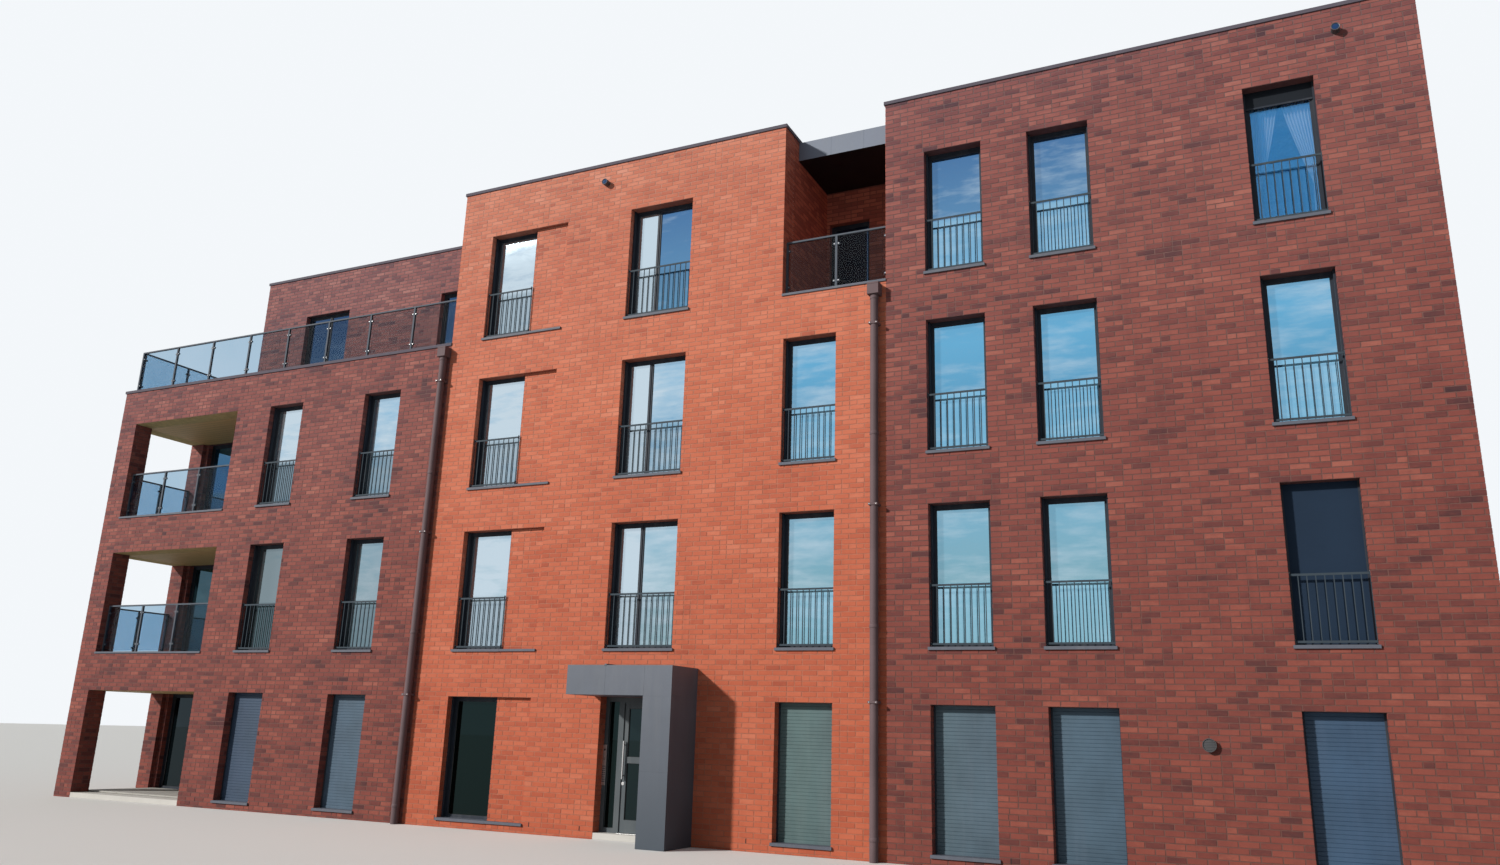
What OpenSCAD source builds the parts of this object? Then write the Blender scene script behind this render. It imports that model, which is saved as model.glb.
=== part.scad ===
/* [Blocks] */
// Width of the left block
left_w = 9570; // [9400:10:11000]
// Width of the middle block
middle_w = 8950; // [8900:10:10500]
// Width of the right block
right_w = 7810; // [7400:10:9500]
// Depth of the building between its wall faces
depth = 12000; // [10000:50:14000]
// Thickness of the outer walls
wall_t = 400; // [365:5:460]
// Thickness of the walls behind the loggias and round the roof recess
inner_wall_t = 300; // [240:10:365]

/* [Storeys] */
// Height from floor to floor
storey_h = 2970; // [2900:10:3200]
// Thickness of an upper floor
floor_t = 300; // [240:10:340]
// Thickness of the ground floor
ground_t = 100; // [80:5:110]
// Clear height of the top storey
top_clear_h = 2860; // [2700:10:3000]
// Thickness of the roofs
roof_t = 250; // [200:10:300]
// Height of the parapet walls above the roofs
parapet_up = 110; // [60:5:400]
// Thickness of the parapet copings
coping_t = 60; // [40:5:80]
// Overhang of the parapet copings
coping_out = 25; // [10:5:35]

/* [Windows] */
// Height of the window heads above the floor
head_h = 2200; // [2100:10:2300]
// Height of the window holes above the floor
sill_up = 30; // [20:5:60]
// Width of a usual window
window_w = 950; // [850:10:1050]
// Width of the windows beside the brick panels
panel_window_w = 1030; // [900:10:1080]
// Width of the windows above the entrance, and of the doorway
wide_window_w = 1310; // [1250:10:1500]
// Place of the casement bar in a wide window, as a share of its width
casement_share = 0.37; // [0.3:0.01:0.5]
// Depth of the reveals in front of the frames
reveal_d = 180; // [140:5:190]
// Width of a frame member
frame_w = 75; // [60:5:90]
// Depth of a frame
frame_d = 80; // [70:5:90]
// Width of the sash that shows inside a frame
sash_w = 30; // [20:1:34]
// Setback of the sashes in the frames
sash_in = 12; // [6:1:20]
// Thickness of a glass unit
glass_t = 24; // [20:2:44]
// Thickness of the metal sills
sill_t = 25; // [15:1:35]
// Overhang of the metal sills
sill_out = 35; // [25:5:60]
// Drop of a sill's front edge below the window hole
sill_drop = 20; // [10:5:40]
// Overhang of a sill's front edge beside the window hole
sill_side = 20; // [0:5:40]

/* [Window places] */
// First window of the left block, from its left end
left_win_1 = 4790; // [4700:10:5200]
// Second window of the left block, from its right end
left_win_2 = 1180; // [900:10:1400]
// Window of the left block's rear where the front has its loggia, from the left end
left_win_rear = 1700; // [1400:10:2400]
// First window of the middle block, from its left end
middle_win_1 = 760; // [600:10:900]
// Second window of the middle block and the doorway under it, from the left end
middle_win_2 = 3970; // [3900:10:4200]
// Third window of the middle block, from its right end
middle_win_3 = 860; // [700:10:1000]
// First window of the right block, from its left end
right_win_1 = 660; // [600:10:900]
// Second window of the right block, from its left end
right_win_2 = 2340; // [2200:10:2700]
// Third window of the right block, from its right end
right_win_3 = 1360; // [1000:10:1600]
// First window of the left end wall, from the front
end_win_1 = 4300; // [3800:10:5000]
// Second window of the left end wall, from the front
end_win_2 = 8300; // [7500:10:8500]

/* [Brick panels] */
// Width of a recessed brick panel
panel_w = 770; // [500:10:900]
// Depth of a recessed brick panel
panel_d = 80; // [40:5:110]

/* [Loggias] */
// Width of the corner pier
pier_w = 520; // [450:10:700]
// Clear width of a loggia opening
loggia_w = 3280; // [2800:10:3500]
// Depth of the loggias from the wall face
loggia_d = 2000; // [1800:10:2400]
// Length of the brick return behind a side opening
loggia_return = 100; // [60:10:300]
// Width of the glazed doors at the back of a loggia
loggia_door_w = 2500; // [2000:10:2700]
// Distance of the glazed doors from the end wall
loggia_door_gap = 90; // [60:10:200]

// Greatest width of one wing of the glazed doors
wing_max = 900; // [850:10:1000]
// Thickness of the light copings at the foot of loggias and roof recess
edge_t = 40; // [25:5:60]
// Thickness of the boards that close the top of a loggia
soffit_t = 30; // [20:5:60]

/* [Penthouse and roof recess] */
// Setback of the penthouse from the front and the rear
setback = 2000; // [1800:10:2600]
// Setback of the penthouse from the left end
end_setback = 1780; // [1500:10:2600]
// First glazed door of the penthouse, from the left end of the block
pent_door_1 = 3200; // [2900:10:3600]
// Second glazed door of the penthouse, from the right end of the block
pent_door_2 = 860; // [600:10:1200]
// Width of the glazed doors of the penthouse
pent_door_w = 1380; // [1100:10:1500]
// Width of the roof recess
recess_w = 1850; // [1700:10:2000]
// Depth of the roof recess from the wall face
recess_d = 2000; // [1800:10:2400]
// Setback of the roof over the recess
recess_roof_in = 600; // [450:10:900]
// Width of the glazed door in the recess
recess_door_w = 800; // [750:10:1000]
// Distance of that door from the side of the recess
recess_door_gap = 60; // [40:10:200]

/* [Railings and balustrades] */
// Height of a railing above the window hole
railing_h = 950; // [850:10:1100]
// Distance of a railing behind the wall face
railing_in = 40; // [30:5:60]
// Thickness of the railing bars
bar_t = 12; // [10:1:16]
// Greatest distance between railing bars
bar_step = 115; // [95:5:120]
// Height of the railing's flat rails
rail_h = 30; // [25:5:50]
// Height of the balustrades above the floor
balustrade_h = 1050; // [900:10:1150]
// Side of a balustrade post
post_t = 40; // [30:5:50]
// Greatest distance between balustrade posts
post_step = 1250; // [900:50:1600]
// Thickness of the balustrade glass
pane_t = 16; // [12:1:20]
// Distance of the balustrades behind the wall face
balustrade_in = 130; // [110:10:160]

/* [Entrance] */
// Reach of the portal in front of the wall
portal_out = 845; // [600:5:1200]
// Width of the portal's pillar
portal_pillar_w = 500; // [400:10:600]
// Overlap of the portal's roof past the doorway
portal_past = 120; // [60:10:300]
// Height of the portal's roof above its underside
portal_roof_h = 460; // [300:10:550]
// Height of the doorway
door_head_h = 2240; // [2220:5:2300]
// Width of the side light beside the door leaf
side_light_w = 190; // [150:10:240]
// Depth of the door leaf
leaf_t = 70; // [60:2:76]
// Width of the door leaf's frame
leaf_frame_w = 100; // [80:5:120]
// Height of the door's middle rail above the ground
door_rail_z = 1240; // [1000:10:1400]
// Running gap at the hinge side and the top of the door leaf
leaf_gap = 6; // [5:1:8]
// Running gap at the closing side of the door leaf
leaf_free_gap = 10; // [9:1:12]
// Running gap under the door leaf
leaf_foot_gap = 10; // [6:1:15]
// Gap between the door frame's stop and the leaf
stop_gap = 5; // [5:1:8]
// Overlap of the door frame's stop over the leaf
stop_lap = 15; // [10:1:20]
// Thickness of the door frame's stop
stop_t = 15; // [10:1:20]
// Radius of the hinge barrels
hinge_r = 11; // [9:1:14]
// Radius of the hinge pins
hinge_pin_r = 6; // [5:0.5:7]
// Height of one hinge knuckle
knuckle_h = 40; // [30:5:60]
// Running gap between the knuckles and round the pins
knuckle_gap = 0.3; // [0.2:0.1:0.5]
// Width of a hinge flag, from the pin
flag_w = 32; // [25:1:50]
// Thickness of a hinge flag
flag_t = 4; // [3:1:6]
// Distance of the outer hinges from the foot and the top of the leaf
hinge_end = 250; // [150:10:350]
// Diameter of the pull bars
pull_d = 30; // [25:1:35]
// Length of the pull bars
pull_len = 600; // [400:10:800]
// Distance of the pull bars from the leaf
pull_out = 45; // [35:1:50]
// Diameter of the studs that hold the pull bars
stud_d = 18; // [12:1:22]
// Width of the call panel beside the door
call_w = 70; // [50:1:75]
// Height of the call panel
call_h = 640; // [400:10:700]
// Thickness of the call panel
call_t = 15; // [8:1:25]
// Height of the call panel's foot above the ground
call_z = 830; // [700:10:1000]

/* [Small parts] */
// Diameter of the downpipes
pipe_d = 130; // [90:5:150]
// Gap between the downpipes and the wall
pipe_gap = 35; // [20:5:60]
// Distance of the left downpipe from the middle block
left_pipe_in = 90; // [60:5:150]
// Distance of the right downpipe from the right block
right_pipe_in = 165; // [140:5:260]
// Distance that the pipe brackets stand proud of the pipe
bracket_out = 10; // [5:1:20]
// Height of a pipe bracket
bracket_h = 35; // [25:5:60]
// Width of a hopper head
hopper_w = 190; // [170:10:320]
// Height of a hopper head
hopper_h = 200; // [160:10:320]
// Reach of a hopper head in front of the wall
hopper_out = 190; // [185:5:260]
// Distance of a hopper head's foot below the roof terrace's walls
hopper_down = 260; // [220:10:700]
// Thickness of a roller shutter
shutter_t = 14; // [10:1:20]
// Height of a shutter slat
slat_h = 52; // [40:1:60]
// Depth of the groove between shutter slats
slat_groove = 5; // [3:1:7]
// Width of a shutter's guide rail
guide_w = 30; // [20:5:45]
// Depth of a shutter's guide rail
guide_d = 25; // [21:1:40]
// Height of the screen that is let down a little at the top storey
screen_down = 280; // [200:10:400]
// Diameter of the round vent cover
vent_d = 170; // [120:10:200]
// Reach of the vent cover in front of the wall
vent_out = 60; // [40:5:80]
// Place of the vent cover, from the left end of the right block
vent_in = 4390; // [4000:10:4700]
// Height of the vent cover's middle
vent_z = 1750; // [1500:10:1900]
// Diameter of the small wall lamps
lamp_d = 120; // [90:5:140]
// Reach of the wall lamps in front of the wall
lamp_out = 110; // [80:5:130]
// Distance of the wall lamps below the wall top
lamp_down = 380; // [300:10:500]
// Place of the middle block's lamp, from its left end
middle_lamp_in = 3400; // [3000:10:3700]
// Place of the right block's lamp, from its right end
right_lamp_in = 1020; // [800:10:1200]

/* [Hidden] */

// Ends of the blocks, with the middle between the outermost sills and copings at zero
side_reach = max(sill_out, coping_out);
total_w = left_w + middle_w + right_w;
left_x = (side_reach - coping_out - total_w) / 2;
middle_x = left_x + left_w;
right_x = middle_x + middle_w;
end_x = right_x + right_w;

// Wall faces, with the middle of everything from portal to rear sills at zero
front_y = (portal_out - depth - side_reach) / 2;
rear_y = front_y + depth;

// Heights
roof_z = 3 * storey_h + top_clear_h;
wall_top_z = roof_z + roof_t + parapet_up;
low_top_z = 3 * storey_h;
function level(i) = i * storey_h;
function floor_top(i) = i == 0 ? ground_t : level(i);
function sill_z(i) = floor_top(i) + sill_up;
function head_z(i) = level(i) + head_h;

// Extra length by which a cutting shape passes the faces it cuts
past = 10;

// Left edges and widths of the windows, and their storeys
left_front = [
    [left_x + left_win_1, window_w, [0, 1, 2]],
    [middle_x - left_win_2 - window_w, window_w, [0, 1, 2]]
];
left_rear = concat([[left_x + left_win_rear, window_w, [0, 1, 2]]], left_front);
middle_front = [
    [middle_x + middle_win_1, panel_window_w, [0, 1, 2, 3]],
    [middle_x + middle_win_2, wide_window_w, [1, 2, 3]],
    [right_x - middle_win_3 - window_w, window_w, [0, 1, 2]]
];
middle_rear = [
    [middle_x + middle_win_1, panel_window_w, [0, 1, 2, 3]],
    [middle_x + middle_win_2, wide_window_w, [0, 1, 2, 3]],
    [right_x - middle_win_3 - window_w, window_w, [0, 1, 2, 3]]
];
right_wins = [
    [right_x + right_win_1, window_w, [0, 1, 2, 3]],
    [right_x + right_win_2, window_w, [0, 1, 2, 3]],
    [end_x - right_win_3 - window_w, window_w, [0, 1, 2, 3]]
];
end_wins = [
    [front_y + end_win_1, window_w, [0, 1, 2]],
    [front_y + end_win_2, window_w, [0, 1, 2]]
];
front_wins = concat(left_front, middle_front, right_wins);
rear_wins = concat(left_rear, middle_rear, right_wins);
pent_doors = [
    [left_x + pent_door_1, pent_door_w, [3]],
    [middle_x - pent_door_2 - pent_door_w, pent_door_w, [3]]
];
loggia_doors = [[left_x + wall_t + loggia_door_gap, loggia_door_w, [0, 1, 2]]];
recess_x = right_x - recess_w;
recess_doors = [[recess_x + recess_door_gap, recess_door_w, [3]]];

// Loggia and penthouse lines
loggia_x = left_x + pier_w + loggia_w;
loggia_y = front_y + loggia_d;
side_jamb_y = loggia_y - loggia_return;
pent_x = left_x + end_setback;
pent_front_y = front_y + setback;
pent_rear_y = rear_y - setback;
recess_y = front_y + recess_d;

// Doorway, in line with the wide windows
door_x0 = middle_x + middle_win_2;
door_x1 = door_x0 + wide_window_w;
door_y = front_y + reveal_d + stop_t;

// Colours
dark_brick = [0.43, 0.2, 0.17];
soffit_ochre = [0.6, 0.47, 0.28];
orange_brick = [0.72, 0.33, 0.22];
anthracite = [0.16, 0.17, 0.2];
grey_metal = [0.42, 0.44, 0.47];
light_metal = [0.66, 0.66, 0.66];
plaster = [0.84, 0.82, 0.78];
glass_tint = [0.45, 0.62, 0.72, 0.5];
shutter_grey = [0.4, 0.45, 0.52];

// A box from one corner to the opposite one
module box(a, b) {
    translate(a) cube(b - a);
}

// Holes through a wall that runs along x, for a list of windows
module holes(wins, y0, t) {
    for (win = wins)
        for (i = win[2])
            box([win[0], y0 - past, sill_z(i)], [win[0] + win[1], y0 + t + past, head_z(i)]);
}

// Holes for glazed doors, which reach the floor
module door_holes(doors, y0, t) {
    for (d = doors)
        for (i = d[2])
            box([d[0], y0 - past, floor_top(i)], [d[0] + d[1], y0 + t + past, head_z(i)]);
}

// Turns a shape made for the front wall round to the rear wall
module at_rear() {
    translate([0, front_y + rear_y, 0]) mirror([0, 1, 0]) children();
}

// Turns a shape made for the front wall, with x as the way along it, to the left end wall
module at_left_end() {
    multmatrix([[0, 1, 0, left_x - front_y], [1, 0, 0, 0], [0, 0, 1, 0], [0, 0, 0, 1]]) children();
}

// Floor inside the walls
module storey_floor(z0, z1) {
    box([left_x + wall_t, front_y + wall_t, z0], [end_x - wall_t, rear_y - wall_t, z1]);
}

module ground_floor() {
    color(plaster) {
        storey_floor(0, ground_t);
        box([left_x + pier_w, front_y, 0], [loggia_x, front_y + wall_t, ground_t]);
        box([left_x, front_y + wall_t, 0], [left_x + wall_t, side_jamb_y, ground_t]);
        box([door_x0, front_y, 0], [door_x1, front_y + wall_t, ground_t]);
    }
}

module upper_floor(i) {
    color(plaster) storey_floor(level(i) - floor_t, level(i));
}
module floor_1() { upper_floor(1); }
module floor_2() { upper_floor(2); }
module floor_3() { upper_floor(3); }

module main_roof() {
    color(plaster) difference() {
        box([middle_x + wall_t, front_y + wall_t, roof_z],
            [end_x - wall_t, rear_y - wall_t, roof_z + roof_t]);
        box([recess_x - inner_wall_t, front_y, roof_z - past],
            [right_x + inner_wall_t, recess_y + inner_wall_t, roof_z + roof_t + past]);
    }
}

module penthouse_roof() {
    color(plaster)
        box([pent_x + wall_t, pent_front_y + wall_t, roof_z],
            [middle_x + wall_t, pent_rear_y - wall_t, roof_z + roof_t]);
}

// Straight front wall piece with its windows cut out
module front_wall(x0, x1, z0, z1, wins) {
    difference() {
        box([x0, front_y, z0], [x1, front_y + wall_t, z1]);
        holes(wins, front_y, wall_t);
    }
}

// Shallow brick panels to the right of the middle block's first windows
module brick_panels() {
    x0 = middle_x + middle_win_1 + panel_window_w;
    for (i = [0:3])
        box([x0 - past, front_y - past, sill_z(i)], [x0 + panel_w, front_y + panel_d, head_z(i)]);
}

module left_front_wall() {
    color(dark_brick) front_wall(loggia_x, middle_x, 0, low_top_z, left_front);
}

module corner_pier() {
    color(dark_brick) box([left_x, front_y, 0], [left_x + pier_w, front_y + wall_t, low_top_z]);
}

module loggia_bands() {
    color(dark_brick)
        for (i = [0:2]) {
            box([left_x + pier_w, front_y, head_z(i)], [loggia_x, front_y + wall_t, level(i + 1)]);
            box([left_x, front_y + wall_t, head_z(i)], [left_x + wall_t, side_jamb_y, level(i + 1)]);
        }
}

module loggia_back_walls() {
    color(dark_brick) difference() {
        for (i = [0:2])
            box([left_x + wall_t, loggia_y, floor_top(i)],
                [loggia_x + inner_wall_t, loggia_y + inner_wall_t, level(i + 1) - floor_t]);
        door_holes(loggia_doors, loggia_y, inner_wall_t);
    }
}

module loggia_side_walls() {
    color(dark_brick)
        for (i = [0:2])
            box([loggia_x, front_y + wall_t, floor_top(i)],
                [loggia_x + inner_wall_t, loggia_y, level(i + 1) - floor_t]);
}

// Boards over the loggias, level with the heads of their openings
module loggia_soffits() {
    color(soffit_ochre)
        for (i = [0:2])
            box([left_x + wall_t, front_y + wall_t, head_z(i)],
                [loggia_x, loggia_y, head_z(i) + soffit_t]);
}

module left_end_wall() {
    color(dark_brick) difference() {
        box([left_x, side_jamb_y, 0], [left_x + wall_t, rear_y - wall_t, low_top_z]);
        at_left_end() holes(end_wins, front_y, wall_t);
    }
}

module rear_wall(x0, x1, z1, wins) {
    at_rear() front_wall(x0, x1, 0, z1, wins);
}
module left_back_wall() {
    color(dark_brick) rear_wall(left_x, middle_x, low_top_z, left_rear);
}
module middle_back_wall() {
    color(orange_brick) rear_wall(middle_x, right_x, wall_top_z, middle_rear);
}
module right_back_wall() {
    color(dark_brick) rear_wall(right_x, end_x, wall_top_z, right_wins);
}

module middle_wall_left() {
    color(orange_brick) difference() {
        front_wall(middle_x, door_x0, 0, door_head_h, middle_front);
        brick_panels();
    }
}

module middle_wall_right() {
    color(orange_brick) front_wall(door_x1, right_x, 0, door_head_h, middle_front);
}

module middle_wall_upper() {
    color(orange_brick) difference() {
        front_wall(middle_x, right_x, door_head_h, low_top_z, middle_front);
        brick_panels();
    }
}

module middle_wall_top() {
    color(orange_brick) difference() {
        front_wall(middle_x, recess_x, low_top_z, wall_top_z, middle_front);
        brick_panels();
    }
}

// The middle block's left side where it stands above the roof terrace
module middle_side_wall() {
    box([middle_x, front_y + wall_t, low_top_z],
        [middle_x + wall_t, pent_front_y + wall_t, wall_top_z]);
}
module middle_side_walls() {
    color(orange_brick) {
        middle_side_wall();
        at_rear() middle_side_wall();
    }
}

module recess_side_walls() {
    color(orange_brick)
        for (x0 = [recess_x - inner_wall_t, right_x])
            box([x0, front_y + wall_t, low_top_z], [x0 + inner_wall_t, recess_y, wall_top_z]);
}

module recess_back_wall() {
    color(orange_brick) difference() {
        box([recess_x - inner_wall_t, recess_y, low_top_z],
            [right_x + inner_wall_t, recess_y + inner_wall_t, wall_top_z]);
        door_holes(recess_doors, recess_y, inner_wall_t);
    }
}

module recess_roof() {
    color(grey_metal)
        box([recess_x, front_y + recess_roof_in, roof_z], [right_x, recess_y, wall_top_z]);
}

module right_front_wall() {
    color(dark_brick) front_wall(right_x, end_x, 0, wall_top_z, right_wins);
}

module right_end_wall() {
    color(dark_brick)
        box([end_x - wall_t, front_y + wall_t, 0], [end_x, rear_y - wall_t, wall_top_z]);
}

module penthouse_long_wall() {
    difference() {
        box([pent_x, pent_front_y, low_top_z], [middle_x, pent_front_y + wall_t, wall_top_z]);
        door_holes(pent_doors, pent_front_y, wall_t);
    }
}
module penthouse_front_wall() {
    color(dark_brick) penthouse_long_wall();
}
module penthouse_back_wall() {
    color(dark_brick) at_rear() penthouse_long_wall();
}
module penthouse_end_wall() {
    color(dark_brick)
        box([pent_x, pent_front_y + wall_t, low_top_z],
            [pent_x + wall_t, pent_rear_y - wall_t, wall_top_z]);
}

// Coping over a wall from one corner of its plan to the other, with its overhang on both sides
module coping(x0, y0, x1, y1) {
    translate([x0 - coping_out, y0 - coping_out])
        square([x1 - x0 + 2 * coping_out, y1 - y0 + 2 * coping_out]);
}

module left_coping() {
    color(anthracite) translate([0, 0, low_top_z]) linear_extrude(coping_t) difference() {
        union() {
            coping(left_x, front_y, middle_x, front_y + wall_t);
            coping(left_x, front_y, left_x + wall_t, rear_y);
            coping(left_x, rear_y - wall_t, middle_x, rear_y);
        }
        translate([middle_x, front_y - wall_t]) square([wall_t, depth + 2 * wall_t]);
    }
}

module main_coping() {
    color(anthracite) translate([0, 0, wall_top_z]) linear_extrude(coping_t) {
        coping(middle_x, front_y, recess_x, front_y + wall_t);
        coping(right_x, front_y, end_x, front_y + wall_t);
        coping(middle_x, rear_y - wall_t, end_x, rear_y);
        coping(end_x - wall_t, front_y, end_x, rear_y);
        coping(middle_x, front_y, middle_x + wall_t, pent_front_y + wall_t);
        coping(middle_x, pent_rear_y - wall_t, middle_x + wall_t, rear_y);
        coping(recess_x - inner_wall_t, front_y, recess_x, recess_y + inner_wall_t);
        coping(right_x, front_y, right_x + inner_wall_t, recess_y + inner_wall_t);
        coping(recess_x, recess_y, right_x, recess_y + inner_wall_t);
    }
}

module penthouse_coping() {
    color(anthracite) translate([0, 0, wall_top_z]) linear_extrude(coping_t) difference() {
        union() {
            coping(pent_x, pent_front_y, middle_x, pent_front_y + wall_t);
            coping(pent_x, pent_front_y, pent_x + wall_t, pent_rear_y);
            coping(pent_x, pent_rear_y - wall_t, middle_x, pent_rear_y);
        }
        translate([middle_x - coping_out, front_y]) square([wall_t, depth]);
    }
}

// Window frame as a ring with its sashes set back, and a casement bar in a wide one
module frame_ring(x0, w, y0, z0, z1, bars) {
    pane_w = w - (2 + len(bars)) * frame_w;
    edges = concat([0], bars, [1]);
    difference() {
        box([x0, y0, z0], [x0 + w, y0 + frame_d, z1]);
        for (k = [0:len(bars)]) {
            a = x0 + frame_w + edges[k] * pane_w + k * frame_w;
            b = x0 + frame_w + edges[k + 1] * pane_w + k * frame_w;
            box([a, y0 - past, z0 + frame_w], [b, y0 + frame_d + past, z1 - frame_w]);
            box([a - sash_w, y0 - past, z0 + frame_w - sash_w],
                [b + sash_w, y0 + sash_in, z1 - frame_w + sash_w]);
        }
    }
}

// Glass units inside a frame ring
module frame_panes(x0, w, y0, z0, z1, bars) {
    pane_w = w - (2 + len(bars)) * frame_w;
    edges = concat([0], bars, [1]);
    mid_y = y0 + frame_d / 2;
    for (k = [0:len(bars)]) {
        a = x0 + frame_w + edges[k] * pane_w + k * frame_w;
        b = x0 + frame_w + edges[k + 1] * pane_w + k * frame_w;
        box([a, mid_y - glass_t / 2, z0 + frame_w], [b, mid_y + glass_t / 2, z1 - frame_w]);
    }
}

// Casement bars of a window, by its width
function bars_of(w) = w < wide_window_w ? [] : [casement_share];

module frames(wins, y0) {
    for (win = wins)
        for (i = win[2])
            frame_ring(win[0], win[1], y0 + reveal_d, sill_z(i), head_z(i), bars_of(win[1]));
}
module panes(wins, y0) {
    for (win = wins)
        for (i = win[2])
            frame_panes(win[0], win[1], y0 + reveal_d, sill_z(i), head_z(i), bars_of(win[1]));
}

module front_frames() {
    color(anthracite) {
        frames(front_wins, front_y);
        for (win = shut_wins) shutter_guides(win, 0);
        shutter_guides(screened_win, 1);
        shutter_guides(screened_win, 3);
    }
}
module front_glass() {
    mid_y = door_y + frame_d / 2;
    color(glass_tint) {
        panes(front_wins, front_y);
        box([door_x0 + frame_w, mid_y - glass_t / 2, ground_t + frame_w],
            [mullion_x, mid_y + glass_t / 2, door_head_h - frame_w]);
    }
}
module rear_frames() {
    color(anthracite) {
        at_rear() frames(rear_wins, front_y);
        at_left_end() frames(end_wins, front_y);
    }
}
module rear_glass() {
    color(glass_tint) {
        at_rear() panes(rear_wins, front_y);
        at_left_end() panes(end_wins, front_y);
    }
}

// Bars between the equal wings of a glazed balcony door, as shares of its clear width
function door_bars(w) = let(wings = ceil(w / wing_max)) [for (k = [1:1:wings - 1]) k / wings];
door_set = (inner_wall_t - frame_d) / 2;

module door_rings(doors, y0) {
    for (d = doors)
        for (i = d[2])
            frame_ring(d[0], d[1], y0 + door_set, floor_top(i), head_z(i), door_bars(d[1]));
}
module door_panes(doors, y0) {
    for (d = doors)
        for (i = d[2])
            frame_panes(d[0], d[1], y0 + door_set, floor_top(i), head_z(i), door_bars(d[1]));
}

module balcony_door_frames() {
    color(anthracite) {
        door_rings(loggia_doors, loggia_y);
        door_rings(recess_doors, recess_y);
        door_rings(pent_doors, pent_front_y);
        at_rear() door_rings(pent_doors, pent_front_y);
    }
}
module balcony_door_glass() {
    color(glass_tint) {
        door_panes(loggia_doors, loggia_y);
        door_panes(recess_doors, recess_y);
        door_panes(pent_doors, pent_front_y);
        at_rear() door_panes(pent_doors, pent_front_y);
    }
}

// Metal sills from the frames out past the wall face, with a drip edge in front
module sills(wins, y0) {
    for (win = wins)
        for (i = win[2]) {
            x1 = win[0] + win[1];
            z0 = sill_z(i);
            box([win[0], y0 - sill_out, z0], [x1, y0 + reveal_d, z0 + sill_t]);
            box([win[0] - sill_side, y0 - sill_out, z0 - sill_drop], [x1 + sill_side, y0, z0 + sill_t]);
        }
}
module window_sills() {
    color(light_metal) {
        sills(front_wins, front_y);
        at_rear() sills(rear_wins, front_y);
        at_left_end() sills(end_wins, front_y);
    }
}

// Barred railing between the jambs of a window
module railing(x0, w, z0) {
    y0 = front_y + railing_in;
    z_foot = z0 + sill_t + rail_h;
    z_top = z0 + railing_h;
    count = ceil((w - bar_t) / bar_step);
    step = (w - bar_t) / count;
    for (z = [z_foot, z_top - rail_h])
        box([x0, y0, z], [x0 + w, y0 + bar_t, z + rail_h]);
    for (k = [0:count])
        box([x0 + k * step, y0, z_foot], [x0 + k * step + bar_t, y0 + bar_t, z_top]);
}
module railings(wins) {
    for (win = wins)
        for (i = win[2])
            if (i > 0) railing(win[0], win[1], sill_z(i));
}
module front_railings() {
    color(anthracite) railings(front_wins);
}
module rear_railings() {
    color(anthracite) {
        at_rear() railings(rear_wins);
        at_left_end() railings(end_wins);
    }
}

// Roller shutter with grooves between its slats, closing a window hole
module shutter(x0, w, z0, z1) {
    count = floor((z1 - z0) / slat_h);
    step = (z1 - z0) / count;
    profile = concat(
        [[shutter_t, 0]],
        [for (k = [0:count - 1]) each
            [[slat_groove, k * step], [0, k * step + slat_groove], [0, (k + 1) * step - slat_groove]]],
        [[slat_groove, z1 - z0], [shutter_t, z1 - z0]]
    );
    translate([x0, front_y + reveal_d - shutter_t, z0])
        multmatrix([[0, 0, 1, 0], [1, 0, 0, 0], [0, 1, 0, 0], [0, 0, 0, 1]])
            linear_extrude(w) polygon(profile);
}

// Guide rails of a shutter or screen at both jambs of a window
module shutter_guides(win, i) {
    for (x0 = [win[0], win[0] + win[1] - guide_w])
        box([x0, front_y + reveal_d - guide_d, sill_z(i) + sill_t],
            [x0 + guide_w, front_y + reveal_d, head_z(i)]);
}

// Windows of the ground floor with closed shutters, and the column with screens
shut_wins = [left_front[0], left_front[1], middle_front[2], right_wins[0], right_wins[1], right_wins[2]];
screened_win = right_wins[2];

module roller_shutters() {
    color(shutter_grey)
        for (win = shut_wins)
            shutter(win[0] + guide_w, win[1] - 2 * guide_w, sill_z(0) + sill_t, head_z(0));
}

// Screens between the guides: one let down, one let down a little
module window_screens() {
    x0 = screened_win[0] + guide_w;
    x1 = screened_win[0] + screened_win[1] - guide_w;
    color(anthracite)
        for (span = [[sill_z(1) + sill_t, head_z(1)], [head_z(3) - screen_down, head_z(3)]])
            box([x0, front_y + reveal_d - shutter_t, span[0]], [x1, front_y + reveal_d, span[1]]);
}

// Posts and handrail of a balustrade along x, from x0 to x1
module fence_metal(x0, x1, y0, z0, z1) {
    count = ceil((x1 - x0 - post_t) / post_step);
    step = (x1 - x0 - post_t) / count;
    for (k = [0:count])
        box([x0 + k * step, y0, z0], [x0 + k * step + post_t, y0 + post_t, z1]);
    box([x0, y0, z1 - rail_h], [x1, y0 + post_t, z1]);
}
// Glass panes between the posts
module fence_glass(x0, x1, y0, z0, z1) {
    count = ceil((x1 - x0 - post_t) / post_step);
    step = (x1 - x0 - post_t) / count;
    mid_y = y0 + post_t / 2;
    for (k = [0:count - 1])
        box([x0 + k * step + post_t, mid_y - pane_t / 2, z0 + rail_h],
            [x0 + (k + 1) * step, mid_y + pane_t / 2, z1 - rail_h]);
}

// One balustrade, as its metal or its glass
module run(part, x0, x1, z0, z1) {
    y0 = front_y + balustrade_in;
    if (part == "metal") fence_metal(x0, x1, y0, z0, z1);
    if (part == "glass") fence_glass(x0, x1, y0, z0, z1);
}
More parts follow.
